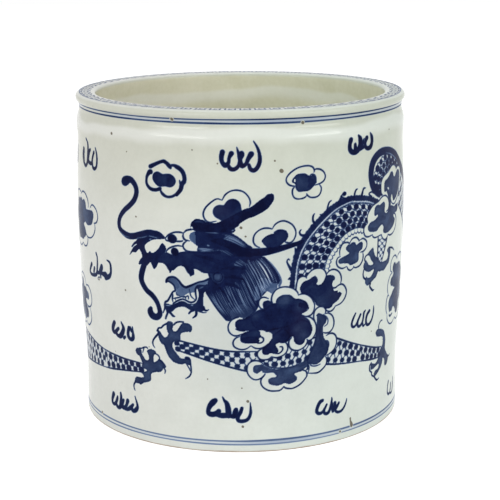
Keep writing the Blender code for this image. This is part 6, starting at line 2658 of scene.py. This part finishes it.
@dataclass
class Studio:
    """Camera, pale floor, three soft boxes and a white surround."""

    camera_distance: float = 0.86948
    camera_height: float = 0.302985
    pitch_down: float = 13.154
    roll: float = -0.32695
    lens: float = 102.666
    shift: Point = (0.018154, -0.009894)
    floor_size: float = 8.0
    floor_colour: tuple[float, float, float, float] = (0.86, 0.86, 0.86, 1.0)
    floor_glow: float = 0.66
    ambient: float = 0.535
    soft_boxes: tuple[tuple[float, ...], ...] = (
        (-42.0, 13.0, 1.50, 0.34, 11.2),
        (53.0, 13.0, 1.30, 0.34, 10.4),
        (0.0, 66.0, 1.60, 1.10, 8.0),
    )
    box_distance: float = 2.1
    aim_height: float = 0.10
    sensor_width: float = 36.0
    clip_start: float = 0.05
    floor_roughness: float = 0.9

    def build(self) -> None:
        """Set up everything that isn't the pot."""
        self.add_camera()
        self.add_floor()
        self.add_surround()
        for number, sizes in enumerate(self.soft_boxes):
            self.add_soft_box(f"soft_box_{number + 1}", *sizes)
        bpy.context.scene.view_settings.view_transform = "Standard"

    def add_camera(self) -> None:
        """Camera in front of the pot, looking slightly down."""
        data = bpy.data.cameras.new("camera")
        data.lens = self.lens
        data.sensor_width = self.sensor_width
        data.shift_x, data.shift_y = self.shift
        data.clip_start = self.clip_start
        camera = bpy.data.objects.new("camera", data)
        bpy.context.scene.collection.objects.link(camera)
        tilt = Euler((math.radians(90.0 - self.pitch_down), 0.0, 0.0)).to_matrix().to_4x4()
        turn = Matrix.Rotation(math.radians(self.roll), 4, "Z")
        place = Matrix.Translation((0.0, -self.camera_distance, self.camera_height))
        camera.matrix_world = place @ tilt @ turn
        bpy.context.scene.camera = camera

    def seen_directly(self, graph: Graph) -> object:
        """One for rays from the camera and for mirrored or transmitted ones, else nothing."""
        path = graph.node("ShaderNodeLightPath")
        either = graph.math("MAXIMUM", path.outputs["Is Camera Ray"], path.outputs["Is Glossy Ray"])
        return graph.math("MAXIMUM", either, path.outputs["Is Transmission Ray"])

    def add_floor(self) -> None:
        """Plain pale floor that keeps the pot's soft shadow."""
        deselect_all()
        bpy.ops.mesh.primitive_plane_add(size=self.floor_size)
        floor = bpy.context.object
        floor.name = "floor"
        material = bpy.data.materials.new("floor_paper")
        material.use_nodes = True
        graph = Graph(material.node_tree)
        shader = material.node_tree.nodes["Principled BSDF"]
        shader.inputs["Base Color"].default_value = self.floor_colour
        shader.inputs["Roughness"].default_value = self.floor_roughness
        shader.inputs["Specular IOR Level"].default_value = 0.0
        shader.inputs["Emission Color"].default_value = (1.0, 1.0, 1.0, 1.0)
        glow = graph.math("MULTIPLY", self.seen_directly(graph), self.floor_glow)
        graph.tree.links.new(glow, shader.inputs["Emission Strength"])
        floor.data.materials.append(material)

    def add_surround(self) -> None:
        """White where it is seen, softer as a light."""
        world = bpy.data.worlds.new("surround")
        world.use_nodes = True
        bpy.context.scene.world = world
        graph = Graph(world.node_tree)
        background = world.node_tree.nodes["Background"]
        background.inputs["Color"].default_value = (1.0, 1.0, 1.0, 1.0)
        seen = self.seen_directly(graph)
        level = graph.node("ShaderNodeMapRange", {0: seen, 3: self.ambient, 4: 1.0}).outputs[0]
        graph.tree.links.new(level, background.inputs["Strength"])

    def add_soft_box(
        self, name: str, azimuth: float, elevation: float, width: float, height: float, power: float
    ) -> None:
        """One large soft light that faces the pot.

        Args:
            name: its name.
            azimuth: degrees round from the front, to the right.
            elevation: degrees above the table.
            width: its width in metres.
            height: its height in metres.
            power: its power in watts.
        """
        data = bpy.data.lights.new(name, "AREA")
        data.shape = "RECTANGLE"
        data.size = width
        data.size_y = height
        data.energy = power
        lamp = bpy.data.objects.new(name, data)
        bpy.context.scene.collection.objects.link(lamp)
        turn, rise = math.radians(azimuth), math.radians(elevation)
        away = Vector((math.sin(turn) * math.cos(rise), -math.cos(turn) * math.cos(rise), math.sin(rise)))
        lamp.location = away * self.box_distance + Vector((0.0, 0.0, self.aim_height))
        lamp.rotation_euler = away.to_track_quat("Z", "Y").to_euler()


def main() -> None:
    """Build the pot, its painting and the studio."""
    logging.basicConfig(level=logging.INFO, format="%(name)s: %(message)s")
    low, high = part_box("pot_body")
    shape = PotShape(height=high.z, rim_radius=high.x - max(swell for _, swell in PotShape.barrel))
    groups = Groups(build_glaze_ground(), build_throwing_rings(), build_cobalt_wash())
    cobalt = CobaltFinish(groups).material()
    iron = IronFinish(groups).material()
    makers: list[Callable[[], list[bpy.types.Object]]] = [
        lambda: [ThrownPot(shape, BodyFinish(groups)).build()],
        BorderLines(shape, cobalt).build,
        RimFret(shape, cobalt).build,
        Painting(shape, cobalt).build,
        IronSpots(shape, iron).build,
    ]
    for make in makers:
        for piece in make():
            if piece is not None:
                LOG.info("%s: %d faces", piece.name, len(piece.data.polygons))
    Studio().build()


if __name__ == "__main__":
    main()
